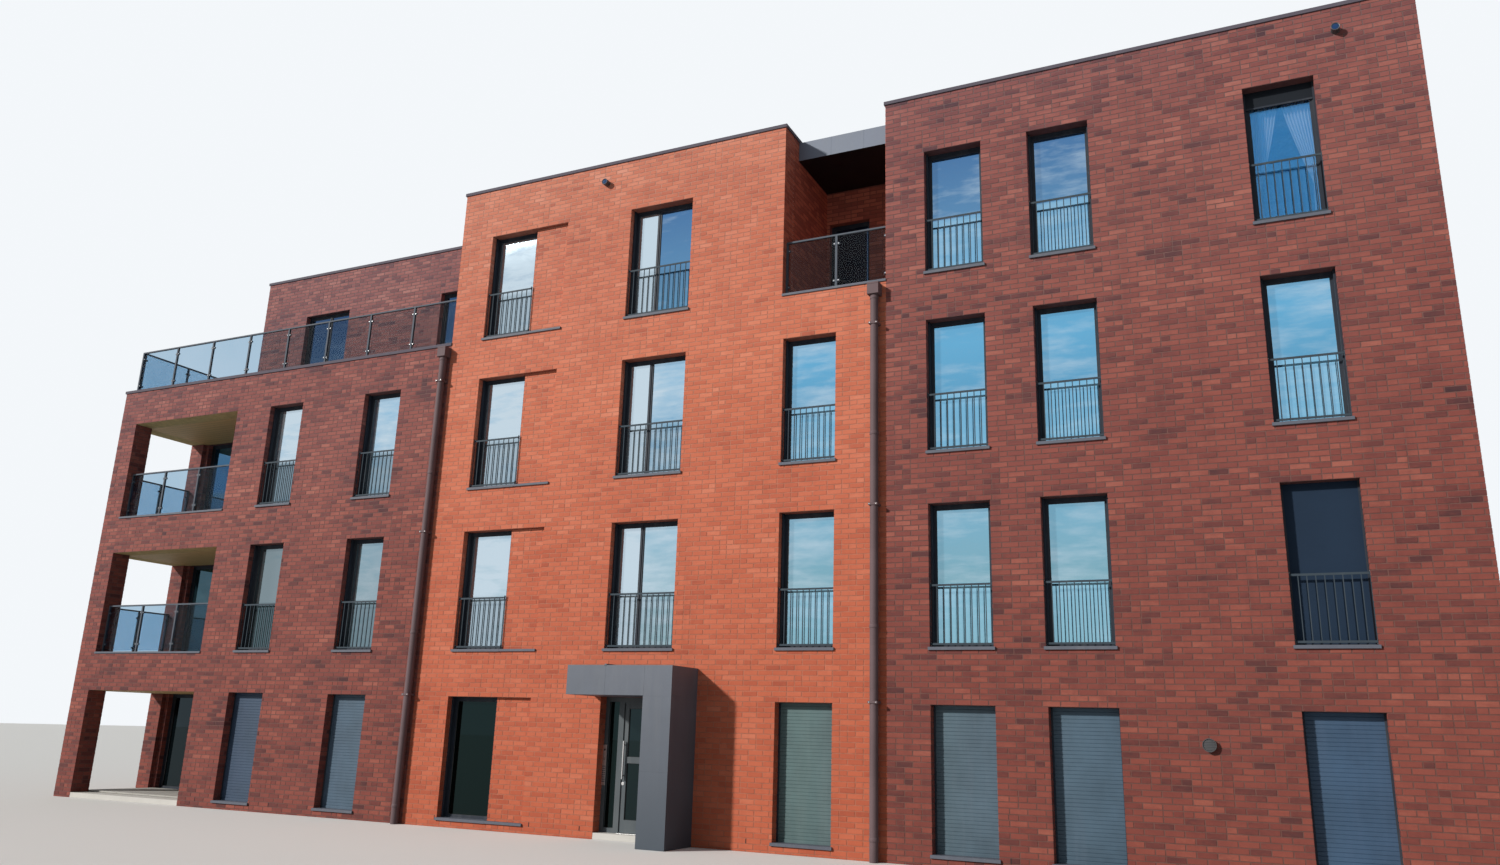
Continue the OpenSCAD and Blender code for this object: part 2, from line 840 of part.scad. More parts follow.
// Balustrades of the upper loggias and the roof recess
module opening_runs(part) {
    for (i = [1, 2]) {
        run(part, left_x + pier_w, loggia_x, level(i) + edge_t, level(i) + balustrade_h);
        at_left_end()
            run(part, front_y + wall_t, side_jamb_y, level(i) + edge_t, level(i) + balustrade_h);
    }
    run(part, recess_x, right_x, low_top_z + edge_t, low_top_z + balustrade_h);
}
// Balustrades on the coping along the front and the rear of the roof terrace
roof_foot_z = low_top_z + coping_t;
roof_rail_z = low_top_z + balustrade_h;
module roof_runs(part) {
    run(part, left_x + balustrade_in, middle_x, roof_foot_z, roof_rail_z);
    at_rear() run(part, left_x + balustrade_in, middle_x, roof_foot_z, roof_rail_z);
}
// Balustrade along its left end, between the other two
module roof_end_run(part) {
    corner = balustrade_in + post_t;
    at_left_end() run(part, front_y + corner, rear_y - corner, roof_foot_z, roof_rail_z);
}
module opening_balustrades() {
    color(grey_metal) opening_runs("metal");
}
module roof_balustrades() {
    color(grey_metal) roof_runs("metal");
}
module roof_end_balustrade() {
    color(grey_metal) roof_end_run("metal");
}
module balustrade_glass() {
    color(glass_tint) {
        opening_runs("glass");
        roof_runs("glass");
        roof_end_run("glass");
    }
}

// Light copings under the balustrades of the upper loggias and of the roof recess
module opening_coping(x0, x1, z0) {
    box([x0, front_y - coping_out, z0], [x1, front_y + balustrade_in + post_t, z0 + edge_t]);
}
module opening_copings() {
    color(light_metal) {
        for (i = [1, 2]) {
            opening_coping(left_x + pier_w, loggia_x, level(i));
            at_left_end() opening_coping(front_y + wall_t, side_jamb_y, level(i));
        }
        opening_coping(recess_x, right_x, low_top_z);
    }
}

// Portal in front of the doorway: a roof on one broad pillar
module entrance_portal() {
    x0 = door_x0 - portal_past;
    x1 = door_x1 + portal_pillar_w;
    top_z = door_head_h + portal_roof_h;
    color(grey_metal)
        translate([0, front_y, 0]) rotate([90, 0, 0]) linear_extrude(portal_out)
            polygon([
                [x0, door_head_h], [x0, top_z], [x1, top_z],
                [x1, 0], [door_x1, 0], [door_x1, door_head_h]
            ]);
}

// Door frame: jambs, head, a mullion beside the side light, and a stop in front of the leaf
mullion_x = door_x0 + frame_w + side_light_w;
leaf_x0 = mullion_x + frame_w + leaf_free_gap;
leaf_x1 = door_x1 - frame_w - leaf_gap;
leaf_z0 = ground_t + leaf_foot_gap;
leaf_z1 = door_head_h - frame_w - leaf_gap;
leaf_y = door_y + stop_gap;

// Pins of the three hinges, in front of the frame's inner face
hinge_x = leaf_x1 + leaf_gap / 2;
hinge_face_y = door_y + frame_d;
hinge_y = hinge_face_y + hinge_r;
hinge_zs = [leaf_z0 + hinge_end, (leaf_z0 + leaf_z1) / 2, leaf_z1 - hinge_end];

// Hinge half on the frame: an upper and a lower knuckle on one pin
module frame_hinge(z) {
    for (side = [-1, 1]) {
        z0 = z + (side < 0 ? -1.5 : 0.5) * knuckle_h;
        translate([hinge_x, hinge_y, z0]) cylinder(h = knuckle_h, r = hinge_r, $fn = 32);
        box([hinge_x, hinge_face_y, z0], [hinge_x + flag_w, hinge_face_y + flag_t, z0 + knuckle_h]);
    }
    translate([hinge_x, hinge_y, z - knuckle_h]) cylinder(h = 2 * knuckle_h, r = hinge_pin_r, $fn = 32);
}

// Hinge half on the leaf: one knuckle between those of the frame
module leaf_hinge(z) {
    h = knuckle_h - 2 * knuckle_gap;
    z0 = z - h / 2;
    difference() {
        union() {
            translate([hinge_x, hinge_y, z0]) cylinder(h = h, r = hinge_r, $fn = 32);
            box([hinge_x - flag_w, leaf_y + leaf_t, z0], [leaf_x1, hinge_face_y + flag_t, z0 + h]);
        }
        translate([hinge_x, hinge_y, z0 - past])
            cylinder(h = h + 2 * past, r = hinge_pin_r + knuckle_gap, $fn = 32);
    }
}

module door_frame() {
    color(anthracite) for (z = hinge_zs) frame_hinge(z);
    color(anthracite) difference() {
        box([door_x0, door_y - stop_t, ground_t], [door_x1, door_y + frame_d, door_head_h]);
        box([door_x0 + frame_w, door_y - stop_t - past, ground_t + frame_w],
            [mullion_x, door_y + frame_d + past, door_head_h - frame_w]);
        box([mullion_x + frame_w, door_y, ground_t - past],
            [door_x1 - frame_w, door_y + frame_d + past, door_head_h - frame_w]);
        box([mullion_x + frame_w + stop_lap + leaf_free_gap, door_y - stop_t - past, ground_t - past],
            [door_x1 - frame_w - stop_lap, door_y + past, door_head_h - frame_w - stop_lap]);
    }
}

// Fields of glass in the leaf, below and above its middle rail
leaf_fields = [
    [leaf_z0 + 2 * leaf_frame_w, door_rail_z - leaf_frame_w / 2],
    [door_rail_z + leaf_frame_w / 2, leaf_z1 - leaf_frame_w]
];

module entrance_door() {
    color(anthracite) for (z = hinge_zs) leaf_hinge(z);
    color(anthracite) difference() {
        box([leaf_x0, leaf_y, leaf_z0], [leaf_x1, leaf_y + leaf_t, leaf_z1]);
        for (f = leaf_fields)
            box([leaf_x0 + leaf_frame_w, leaf_y - past, f[0]],
                [leaf_x1 - leaf_frame_w, leaf_y + leaf_t + past, f[1]]);
    }
}

module door_glass() {
    mid_y = leaf_y + leaf_t / 2;
    color(glass_tint)
        for (f = leaf_fields)
            box([leaf_x0 + leaf_frame_w, mid_y - glass_t / 2, f[0]],
                [leaf_x1 - leaf_frame_w, mid_y + glass_t / 2, f[1]]);
}

// Pull bars on both sides of the leaf's closing stile, each on two studs
module door_pulls() {
    x = leaf_x0 + leaf_frame_w / 2;
    z0 = door_rail_z - pull_len / 2;
    color(light_metal)
        for (side = [-1, 1]) {
            face_y = side < 0 ? leaf_y : leaf_y + leaf_t;
            bar_y = face_y + side * pull_out;
            translate([x, bar_y, z0]) cylinder(h = pull_len, d = pull_d, $fn = 32);
            for (z = [z0 + 2 * pull_d, z0 + pull_len - 2 * pull_d])
                translate([x, min(face_y, bar_y), z]) rotate([-90, 0, 0])
                    cylinder(h = pull_out, d = stud_d, $fn = 32);
        }
}

// Call panel on the door frame's left member
module call_panel() {
    x0 = door_x0 + (frame_w - call_w) / 2;
    y0 = front_y + reveal_d;
    color(light_metal) box([x0, y0 - call_t, call_z], [x0 + call_w, y0, call_z + call_h]);
}

// Downpipe with a hopper head, wall brackets and its foot on the ground
module downpipe(x) {
    y = front_y - pipe_gap - pipe_d / 2;
    hopper_z = low_top_z - hopper_down;
    clip = pipe_d / 2 + bracket_out;
    translate([x, y, 0]) cylinder(h = hopper_z + past, d = pipe_d, $fn = 48);
    box([x - hopper_w / 2, front_y - hopper_out, hopper_z],
        [x + hopper_w / 2, front_y, hopper_z + hopper_h]);
    for (i = [0:2])
        box([x - clip, y - clip, head_z(i)], [x + clip, front_y, head_z(i) + bracket_h]);
}
module downpipes() {
    color(anthracite) {
        downpipe(middle_x - left_pipe_in);
        downpipe(right_x - right_pipe_in);
    }
}

// Round fitting on the wall face
module wall_fitting(x, z, d, out) {
    translate([x, front_y, z]) rotate([90, 0, 0]) cylinder(h = out, d = d, $fn = 48);
}
// Vent cover of the ground floor and a small lamp high up on each of two blocks
module wall_fittings() {
    color(anthracite) {
        wall_fitting(right_x + vent_in, vent_z, vent_d, vent_out);
        wall_fitting(middle_x + middle_lamp_in, wall_top_z - lamp_down, lamp_d, lamp_out);
        wall_fitting(end_x - right_lamp_in, wall_top_z - lamp_down, lamp_d, lamp_out);
    }
}

ground_floor();
floor_1();
floor_2();
floor_3();
main_roof();
penthouse_roof();
left_front_wall();
corner_pier();
loggia_bands();
loggia_back_walls();
loggia_side_walls();
loggia_soffits();
left_end_wall();
left_back_wall();
middle_wall_left();
middle_wall_right();
middle_wall_upper();
middle_wall_top();
middle_side_walls();
middle_back_wall();
recess_side_walls();
recess_back_wall();
recess_roof();
right_front_wall();
right_end_wall();
right_back_wall();
penthouse_front_wall();
penthouse_end_wall();
penthouse_back_wall();
left_coping();
main_coping();
penthouse_coping();
front_frames();
rear_frames();
balcony_door_frames();
front_glass();
rear_glass();
balcony_door_glass();
window_sills();
front_railings();
rear_railings();
roller_shutters();
window_screens();
opening_copings();
opening_balustrades();
roof_balustrades();
roof_end_balustrade();
balustrade_glass();
entrance_portal();
door_frame();
entrance_door();
door_glass();
door_pulls();
call_panel();
downpipes();
wall_fittings();
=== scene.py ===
# %% [markdown]
# # A brick apartment block
#
# The building is 26 m long and stands in a row of three flush blocks: two of dark
# brick and one of orange brick between them. Its walls, floors, windows and door come
# from the solid model, in metres, and stay exactly where they are. This lesson lays the
# bricks on those walls, finishes every surface, and adds the small parts that the solid
# model leaves out.

import math

import bmesh
import bpy
import numpy as np
from mathutils import Matrix, Vector


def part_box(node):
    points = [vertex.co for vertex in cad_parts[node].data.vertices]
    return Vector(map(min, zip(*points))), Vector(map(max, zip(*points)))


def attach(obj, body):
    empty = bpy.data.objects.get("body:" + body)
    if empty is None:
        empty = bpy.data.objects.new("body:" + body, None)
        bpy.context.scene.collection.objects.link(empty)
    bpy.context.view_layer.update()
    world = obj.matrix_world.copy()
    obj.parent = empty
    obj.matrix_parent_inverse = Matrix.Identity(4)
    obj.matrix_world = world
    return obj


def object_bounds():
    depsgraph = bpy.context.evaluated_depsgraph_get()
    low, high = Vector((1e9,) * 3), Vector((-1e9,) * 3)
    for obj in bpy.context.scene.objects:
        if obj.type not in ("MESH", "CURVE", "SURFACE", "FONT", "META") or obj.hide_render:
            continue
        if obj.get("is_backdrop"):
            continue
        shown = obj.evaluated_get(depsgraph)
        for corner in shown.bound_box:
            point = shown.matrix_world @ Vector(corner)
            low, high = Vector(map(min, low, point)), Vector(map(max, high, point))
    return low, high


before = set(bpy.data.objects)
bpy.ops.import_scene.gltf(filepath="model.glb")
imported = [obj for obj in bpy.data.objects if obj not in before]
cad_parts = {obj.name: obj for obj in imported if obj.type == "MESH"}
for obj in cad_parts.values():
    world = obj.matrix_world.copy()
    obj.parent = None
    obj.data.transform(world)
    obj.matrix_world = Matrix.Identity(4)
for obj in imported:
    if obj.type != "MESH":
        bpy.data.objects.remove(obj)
solid_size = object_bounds()
scene = bpy.context.scene
print(len(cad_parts), "solid pieces,", [round(v, 2) for v in solid_size[1] - solid_size[0]], "m")

# %% [markdown]
# ## Camera
#
# The picture is taken at eye height, looking up and to the left. The place and the lens
# were worked out from the straight edges of the building: parallel lines meet in a
# vanishing point, and two of those points give the lens and the turn.
# The camera is given as a yaw, a pitch and a small roll, and no shift is needed.


# %% Camera
def aim(yaw, pitch, roll):
    """Rotation of a camera that looks along +Y when yaw and pitch are zero."""
    ahead = Vector((math.sin(yaw) * math.cos(pitch), math.cos(yaw) * math.cos(pitch), math.sin(pitch)))
    right = Vector((math.cos(yaw), -math.sin(yaw), 0))
    up = right.cross(ahead)
    x = math.cos(roll) * right + math.sin(roll) * up
    y = -math.sin(roll) * right + math.cos(roll) * up
    return Matrix((x, y, -ahead)).transposed()


camera = bpy.data.objects.new("camera", bpy.data.cameras.new("camera"))
scene.collection.objects.link(camera)
camera.data.lens, camera.data.sensor_width = 26.73, 36
camera.data.clip_end = 500
place = Matrix.Translation((10.779, -21.725, 1.724))
camera.matrix_world = place @ aim(*map(math.radians, (-25.796, 15.102, 1.769))).to_4x4()
scene.camera = camera
print("camera at", [round(v, 2) for v in camera.location])

# %% [markdown]
# ## Light and floor
#
# A pale floor and a pale sky keep the eye on the building. One lamp stands in for the
# sun, high up at the left of the front, and a very wide one for the bright sky before
# the front. The rest of the sky fills the shadows a little. It has two strengths: the
# one that is seen, also in metal and glass, and the weaker one that lights the walls.
# Light Path tells the two apart. The floor too looks pale and lights the walls less.


# %% A short way to make nodes
def fill(tree, node, values):
    """Gives a node its values: another node's socket is linked, anything else is written."""
    for name, value in values.items():
        socket = node.inputs[name]
        if isinstance(value, bpy.types.NodeSocket):
            tree.links.new(value, socket)
        else:
            socket.default_value = (*value[:3], 1) if socket.type == "RGBA" else value
    return node


def add(tree, kind, values=None, **settings):
    made = tree.nodes.new(kind)
    for name, value in settings.items():
        setattr(made, name, value)
    return fill(tree, made, values or {})


def maths(tree, operation, a, b=0.0, c=0.0):
    return add(tree, "ShaderNodeMath", {0: a, 1: b, 2: c}, operation=operation).outputs[0]


def product(tree, first, *others):
    """All the values multiplied; of masks it is the place where they overlap."""
    for value in others:
        first = maths(tree, "MULTIPLY", first, value)
    return first


def within(tree, value, low, high):
    """1 where the value lies between low and high, else 0."""
    return product(tree, maths(tree, "GREATER_THAN", value, low), maths(tree, "LESS_THAN", value, high))


def spread(tree, value, start=(0.0, 1.0), to=(0.0, 1.0)):
    """Moves a value from one range to another and stops at its ends."""
    ends = {"From Min": start[0], "From Max": start[1], "To Min": to[0], "To Max": to[1]}
    return add(tree, "ShaderNodeMapRange", {"Value": value, **ends}).outputs[0]


def blend(tree, share, a, b, how="MIX"):
    """Colour b over colour a; of all its sockets, a Mix node has those for colours at 6, 7 and 2."""
    values = {"Factor": share, 6: a, 7: b}
    return add(tree, "ShaderNodeMix", values, data_type="RGBA", blend_type=how).outputs[2]


def ramp(tree, value, stops):
    """A smooth change through several colours or numbers, given by their places."""
    made = add(tree, "ShaderNodeValToRGB", {0: value})
    while len(made.color_ramp.elements) < len(stops):
        made.color_ramp.elements.new(0.5)
    for mark, (at, colour) in zip(made.color_ramp.elements, stops):
        mark.position, mark.color = at, (*(colour if isinstance(colour, tuple) else [colour] * 3), 1)
    return made.outputs[0]


def split(tree, vector):
    return list(add(tree, "ShaderNodeSeparateXYZ", {0: vector}).outputs)


def join(tree, x=0.0, y=0.0, z=0.0):
    return add(tree, "ShaderNodeCombineXYZ", {0: x, 1: y, 2: z}).outputs[0]


def vector_maths(tree, operation, *values):
    return add(tree, "ShaderNodeVectorMath", dict(enumerate(values)), operation=operation).outputs[0]


def object_place(tree):
    """Where a point is on the object, in metres."""
    return add(tree, "ShaderNodeTexCoord").outputs["Object"]


def upwards(tree):
    """How far a face looks up: 1 on top, 0 on a wall, -1 underneath."""
    return split(tree, add(tree, "ShaderNodeNewGeometry").outputs["True Normal"])[2]


def material(name):
    """A new material and its tree, with the Principled shader that Blender puts in it."""
    made = bpy.data.materials.new(name)
    made.use_nodes = True
    return made, made.node_tree, made.node_tree.nodes["Principled BSDF"]


# %% Sky, lamps and floor
def seen_ray(tree):
    """1 for rays that show a backdrop to the camera, a mirror or glass, else 0."""
    ray = add(tree, "ShaderNodeLightPath").outputs
    shows = maths(tree, "MAXIMUM", ray["Is Camera Ray"], ray["Is Glossy Ray"])
    return maths(tree, "MAXIMUM", shows, ray["Is Transmission Ray"])


sky = bpy.data.worlds.new("pale_sky")
scene.world = sky
sky.use_nodes = True
tree = sky.node_tree
tree.nodes.clear()
lit = add(tree, "ShaderNodeBackground", {"Color": (0.86, 0.93, 1), "Strength": 0.17}).outputs[0]
shown = add(tree, "ShaderNodeBackground", {"Color": (0.9, 0.93, 0.96), "Strength": 1.0}).outputs[0]
both = add(tree, "ShaderNodeMixShader", {0: seen_ray(tree), 1: lit, 2: shown}).outputs[0]
add(tree, "ShaderNodeOutputWorld", {0: both})


def far_lamp(name, power, width, colour, ahead):
    """A lamp so far away that its light is even; width is the angle that it seems to fill."""
    lamp = bpy.data.objects.new(name, bpy.data.lights.new(name, "SUN"))
    scene.collection.objects.link(lamp)
    lamp.data.energy, lamp.data.angle, lamp.data.color = power, math.radians(width), colour
    lamp.matrix_world = Vector(ahead).to_track_quat("-Z", "Y").to_matrix().to_4x4()


far_lamp("sun_lamp", 3.9, 3, (1, 0.965, 0.91), (0.70, 0.84, -0.52))
far_lamp("soft_lamp", 0.3, 110, (0.86, 0.93, 1), (0.35, 0.9, -0.25))

pale, tree, shader = material("pale_floor")
noise = add(tree, "ShaderNodeTexNoise", {"Scale": 0.3, "Detail": 3.0}).outputs[0]
tone = blend(tree, noise, (0.70, 0.70, 0.69), (0.76, 0.76, 0.75))
lighting_tone = (0.4, 0.4, 0.39)
fill(tree, shader, {"Base Color": blend(tree, seen_ray(tree), lighting_tone, tone), "Roughness": 0.9})
reach = 150
floor_mesh = bpy.data.meshes.new("floor")
corners = [(-reach, -reach, 0), (reach, -reach, 0), (reach, reach, 0), (-reach, reach, 0)]
floor_mesh.from_pydata(corners, [], [(0, 1, 2, 3)])
floor_mesh.materials.append(pale)
floor = bpy.data.objects.new("floor", floor_mesh)
scene.collection.objects.link(floor)
floor.location.z = -0.002
floor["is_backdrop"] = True
scene.view_settings.view_transform = "Standard"
print("light and floor are ready")

# %% [markdown]
# ## Effects that several finishes share
#
# Real surfaces are never one even tone. Three small groups of nodes give what most of
# the finishes here need: a soft mottle, rain marks that run down, and a fine grain that
# roughens the surface. Each reads Object coordinates, so the pattern has a real size in
# metres, and each puts out only a mask or a normal.


# %% Shared groups
def shader_group(name, ins, out, kind):
    """An empty node group with named inputs and one output, and its two end nodes."""
    made = bpy.data.node_groups.new(name, "ShaderNodeTree")
    kinds = {float: "NodeSocketFloat", tuple: "NodeSocketVector"}
    for label, value in ins.items():
        socket = made.interface.new_socket(label, in_out="INPUT", socket_type=kinds[type(value)])
        socket.default_value = value
    made.interface.new_socket(out, in_out="OUTPUT", socket_type=kind)
    return made, made.nodes.new("NodeGroupInput").outputs, made.nodes.new("NodeGroupOutput")


def group_noise(tree, vector, scale, detail, rough):
    values = {"Vector": vector, "Scale": scale, "Detail": detail, "Roughness": rough}
    return add(tree, "ShaderNodeTexNoise", values).outputs[0]


# Mottle: soft patches between two sizes, put out as a mask from 0 to 1
mottle, start, end = shader_group(
    "mottle", {"Stretch": (1.0, 1.0, 1.0), "Scale": 3.0, "Contrast": 2.0}, "Mask", "NodeSocketFloat"
)
where = vector_maths(mottle, "MULTIPLY", object_place(mottle), start["Stretch"])
mask = maths(mottle, "SUBTRACT", group_noise(mottle, where, start["Scale"], 5.0, 0.6), 0.5)
mask = maths(mottle, "MULTIPLY_ADD", mask, start["Contrast"], 0.5)
fill(mottle, end, {"Mask": add(mottle, "ShaderNodeClamp", {0: mask}).outputs[0]})

# Rain marks: narrow streaks that are long from top to bottom
rain, start, end = shader_group("rain_marks", {"Width": 5.0, "Length": 0.35}, "Mask", "NodeSocketFloat")
squeeze = join(rain, start["Width"], start["Width"], start["Length"])
where = vector_maths(rain, "MULTIPLY", object_place(rain), squeeze)
fill(rain, end, {"Mask": spread(rain, group_noise(rain, where, 1.0, 4.0, 0.65), (0.5, 0.75))})

# Grain: a fine relief, as of fired clay, rough paint or cast concrete
grain, start, end = shader_group(
    "grain", {"Scale": 120.0, "Height": 0.001, "Strength": 0.5}, "Normal", "NodeSocketVector"
)
relief = {"Height": group_noise(grain, object_place(grain), start["Scale"], 4.0, 0.7)}
relief |= {"Distance": start["Height"], "Strength": start["Strength"]}
fill(grain, end, {"Normal": add(grain, "ShaderNodeBump", relief).outputs[0]})


def use(tree, group, **values):
    """Puts a shared group in a material with this material's own values, and gives what it puts out."""
    return fill(tree, add(tree, "ShaderNodeGroup", node_tree=group), values).outputs[0]


print("shared groups:", mottle.name, rain.name, grain.name)

# %% [markdown]
# ## Brick
#
# The walls are built of bricks 240 mm long and about 70 mm high, fired unevenly, so
# that most are red, some nearly black and a few pale. Each laid brick carries a number
# called tone, and the finish turns that number into one of these colours. A mottle
# within each brick and a coarse grain do the rest. The joints are the solid walls
# themselves, seen between the bricks. Towards the top left the wall colours get paler
# and duller, and near the ground they get deeper. One helper works this out from the
# place on the wall, so that bricks and joints change together.

# %% Measures of the outer walls
left_low, left_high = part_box("left_end_wall")
left_x, end_x = left_low.x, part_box("right_end_wall")[1].x
wall_t, wall_top = left_high.x - left_low.x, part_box("right_front_wall")[1].z
front_y, rear_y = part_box("right_front_wall")[0].y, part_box("right_back_wall")[1].y
under_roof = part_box("main_roof")[0].z
loggia_x, loggia_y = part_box("loggia_side_walls")[0].x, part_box("loggia_side_walls")[1].y
print("outer walls from", round(left_x, 3), "to", round(end_x, 3), "and", round(wall_t, 3), "m thick")


# %% Colour by place on the wall
def along_front(tree, x):
    """0 at the left end of the building and 1 at its right end."""
    return maths(tree, "DIVIDE", maths(tree, "SUBTRACT", x, left_x), end_x - left_x)


# Colours that a wall colour is multiplied by, at half their strength, from deep to pale
place_tints = (
    (0.08, (0.41, 0.385, 0.375)),
    (0.45, (0.45, 0.46, 0.485)),
    (0.64, (0.5, 0.565, 0.615)),
    (0.8, (0.48, 0.565, 0.655)),
    (1.0, (0.5, 0.7, 0.88)),
)
paler_up, paler_aside, deeper_below = 0.86, 0.32, 0.06


def place_shifted(tree, colour):
    """Makes a wall colour deeper near the ground, and paler and duller towards its top left."""
    x, _, z = split(tree, object_place(tree))
    up = maths(tree, "DIVIDE", z, wall_top)
    aside = maths(tree, "DIVIDE", maths(tree, "SUBTRACT", end_x, x), end_x - left_x)
    place = maths(tree, "MULTIPLY_ADD", up, paler_up, -deeper_below)
    place = maths(tree, "MULTIPLY_ADD", aside, paler_aside, place)
    toned = blend(tree, 1.0, colour, ramp(tree, place, place_tints), "MULTIPLY")
    return add(tree, "ShaderNodeVectorMath", {0: toned, "Scale": 2.0}, operation="SCALE").outputs[0]


# %% Fired brick
def brick_finish(name, stops, rough):
    made, tree, shader = material(name)
    inner = use(tree, mottle, Scale=14.0, Contrast=1.6, Stretch=(1.0, 1.0, 2.0))
    wide = use(tree, mottle, Scale=0.45, Contrast=1.8)
    streak = use(tree, mottle, Scale=1.1, Contrast=2.2, Stretch=(1.0, 1.0, 4.0))
    tone = add(tree, "ShaderNodeAttribute", attribute_name="tone").outputs["Fac"]
    tone = maths(tree, "MULTIPLY_ADD", inner, 0.2, tone)
    tone = maths(tree, "MULTIPLY_ADD", streak, 0.3, tone)
    fired = ramp(tree, maths(tree, "SUBTRACT", tone, 0.25), stops)
    dusty = [min(1, v * 1.3 + 0.03) for v in stops[-2][1]]
    toned = blend(tree, product(tree, wide, 0.2), fired, dusty)
    marks = use(tree, rain, Width=4.0, Length=0.3)
    toned = blend(tree, product(tree, marks, 0.2), toned, stops[0][1])
    looks = {"Base Color": place_shifted(tree, toned), "Specular IOR Level": 0.2}
    looks["Normal"] = use(tree, grain, Scale=90.0, Height=0.004, Strength=0.55)
    looks["Roughness"] = spread(tree, inner, to=(rough - 0.1, rough + 0.08))
    fill(tree, shader, looks)
    return made


dark_stops = (
    (0.0, (0.036, 0.021, 0.026)),
    (0.2, (0.088, 0.032, 0.033)),
    (0.45, (0.2, 0.055, 0.045)),
    (0.8, (0.275, 0.077, 0.057)),
    (1.0, (0.37, 0.12, 0.085)),
)
orange_stops = (
    (0.0, (0.28, 0.06, 0.035)),
    (0.25, (0.45, 0.105, 0.055)),
    (0.6, (0.53, 0.132, 0.066)),
    (0.85, (0.58, 0.16, 0.085)),
    (1.0, (0.62, 0.2, 0.115)),
)
dark_brick = brick_finish("dark_brick", dark_stops, 0.82)
orange_brick = brick_finish("orange_brick", orange_stops, 0.84)
print("brick finishes:", dark_brick.name, orange_brick.name)


# %% Joints and plaster of the solid walls
def wall_finish(name, joint, flat_face_colour, plaster_inside=False):
    """The solid wall: joint mortar outside, brick in painted shade under the lintels and plaster in the
    rooms.
    """
    made, tree, shader = material(name)
    spots = use(tree, mottle, Scale=9.0, Contrast=2.5)
    colour = blend(tree, spots, [v * 0.8 for v in joint], [v * 1.15 for v in joint])
    # Flat faces get the second colour; on brick walls it is a darker brick, painted shade under the lintels
    flat_face_tone = blend(tree, spots, [v * 0.7 for v in flat_face_colour], [v * 1.1 for v in flat_face_colour])
    flat = maths(tree, "GREATER_THAN", maths(tree, "ABSOLUTE", upwards(tree)), 0.5)
    colour = place_shifted(tree, blend(tree, flat, colour, flat_face_tone))
    if plaster_inside:
        x, y, z = split(tree, object_place(tree))
        inside_x = within(tree, x, left_x + wall_t - 0.01, end_x - wall_t + 0.01)
        inside_y = within(tree, y, front_y + wall_t - 0.01, rear_y - wall_t + 0.01)
        beside = maths(tree, "LESS_THAN", x, loggia_x + 0.01)
        open_air = product(tree, beside, maths(tree, "LESS_THAN", y, loggia_y + 0.01))
        inside = product(tree, inside_x, inside_y, maths(tree, "SUBTRACT", 1.0, open_air))
        inside = product(tree, inside, maths(tree, "LESS_THAN", z, under_roof))
        white = blend(tree, spots, (0.68, 0.67, 0.64), (0.74, 0.73, 0.7))
        colour = blend(tree, inside, colour, white)
    skin = use(tree, grain, Scale=70.0, Height=0.003, Strength=0.5)
    fill(tree, shader, {"Base Color": colour, "Normal": skin, "Roughness": 0.92})
    return made


# The two soffit colours are darker than the bricks: painted shade under the lintels
dark_joint, dark_shaded_soffit = (0.16, 0.072, 0.06), (0.12, 0.038, 0.033)
orange_joint, orange_shaded_soffit = (0.45, 0.165, 0.1), (0.32, 0.08, 0.042)
shaded_joint, ochre = (0.2, 0.055, 0.034), (0.56, 0.38, 0.15)
dark_wall = wall_finish("dark_wall", dark_joint, dark_shaded_soffit, True)
orange_wall = wall_finish("orange_wall", orange_joint, orange_shaded_soffit, True)
dark_inner_wall = wall_finish("dark_inner_wall", dark_joint, dark_shaded_soffit)
orange_inner_wall = wall_finish("orange_inner_wall", orange_joint, orange_shaded_soffit)
recess_wall = wall_finish("recess_wall", shaded_joint, orange_shaded_soffit)
band_wall = wall_finish("band_wall", dark_joint, ochre)
print("joints have the colours", dark_joint, "and", orange_joint)

# %% [markdown]
# ## Concrete, paint, metal and glass
#
# The remaining finishes are made by a few plain recipes. Painted sheet metal is satin,
# with a faint unevenness and rain marks. The panes carry a painted reflection of a sky
# with soft clouds, which gives them their blue tone; the balustrades have clear glass
# with a painted reflection. The woven screens, the gravel on the roofs and the brushed
# steel have recipes of their own.


# %% Painted and bare metal
def paint(name, colour, rough=0.42, vary=0.12, marks=0.25, gloss=0.5, under=None, reflections_along=None, low_shade=None):
    """Satin paint; the last three arguments paint shade on its underside, reflections along the front, and
    shade low down.
    """
    made, tree, shader = material(name)
    patches = use(tree, mottle, Scale=1.7, Contrast=2.0)
    dust = use(tree, rain, Width=6.0, Length=0.5)
    tone = blend(tree, patches, [v * (1 - vary) for v in colour], [min(1, v * (1 + vary)) for v in colour])
    tone = blend(tree, product(tree, dust, marks), tone, [min(1, 0.5 * v + 0.13) for v in colour])
    x, _, z = split(tree, object_place(tree))
    # Painted reflections that change along the front
    if reflections_along:
        tone = blend(tree, 1.0, tone, ramp(tree, along_front(tree, x), reflections_along), "MULTIPLY")
    # Painted shade, darker towards the ground
    if low_shade:
        tone = blend(tree, spread(tree, z, (low_shade[0], 0.0)), tone, low_shade[1])
    # Painted shade on the underside
    if under:
        tone = blend(tree, maths(tree, "LESS_THAN", upwards(tree), -0.5), tone, under)
    looks = {"Base Color": tone, "Specular IOR Level": gloss}
    looks["Roughness"] = spread(tree, patches, to=(rough - 0.07, rough + 0.09))
    looks["Normal"] = use(tree, grain, Scale=260.0, Height=0.0006, Strength=0.25)
    fill(tree, shader, looks)
    return made


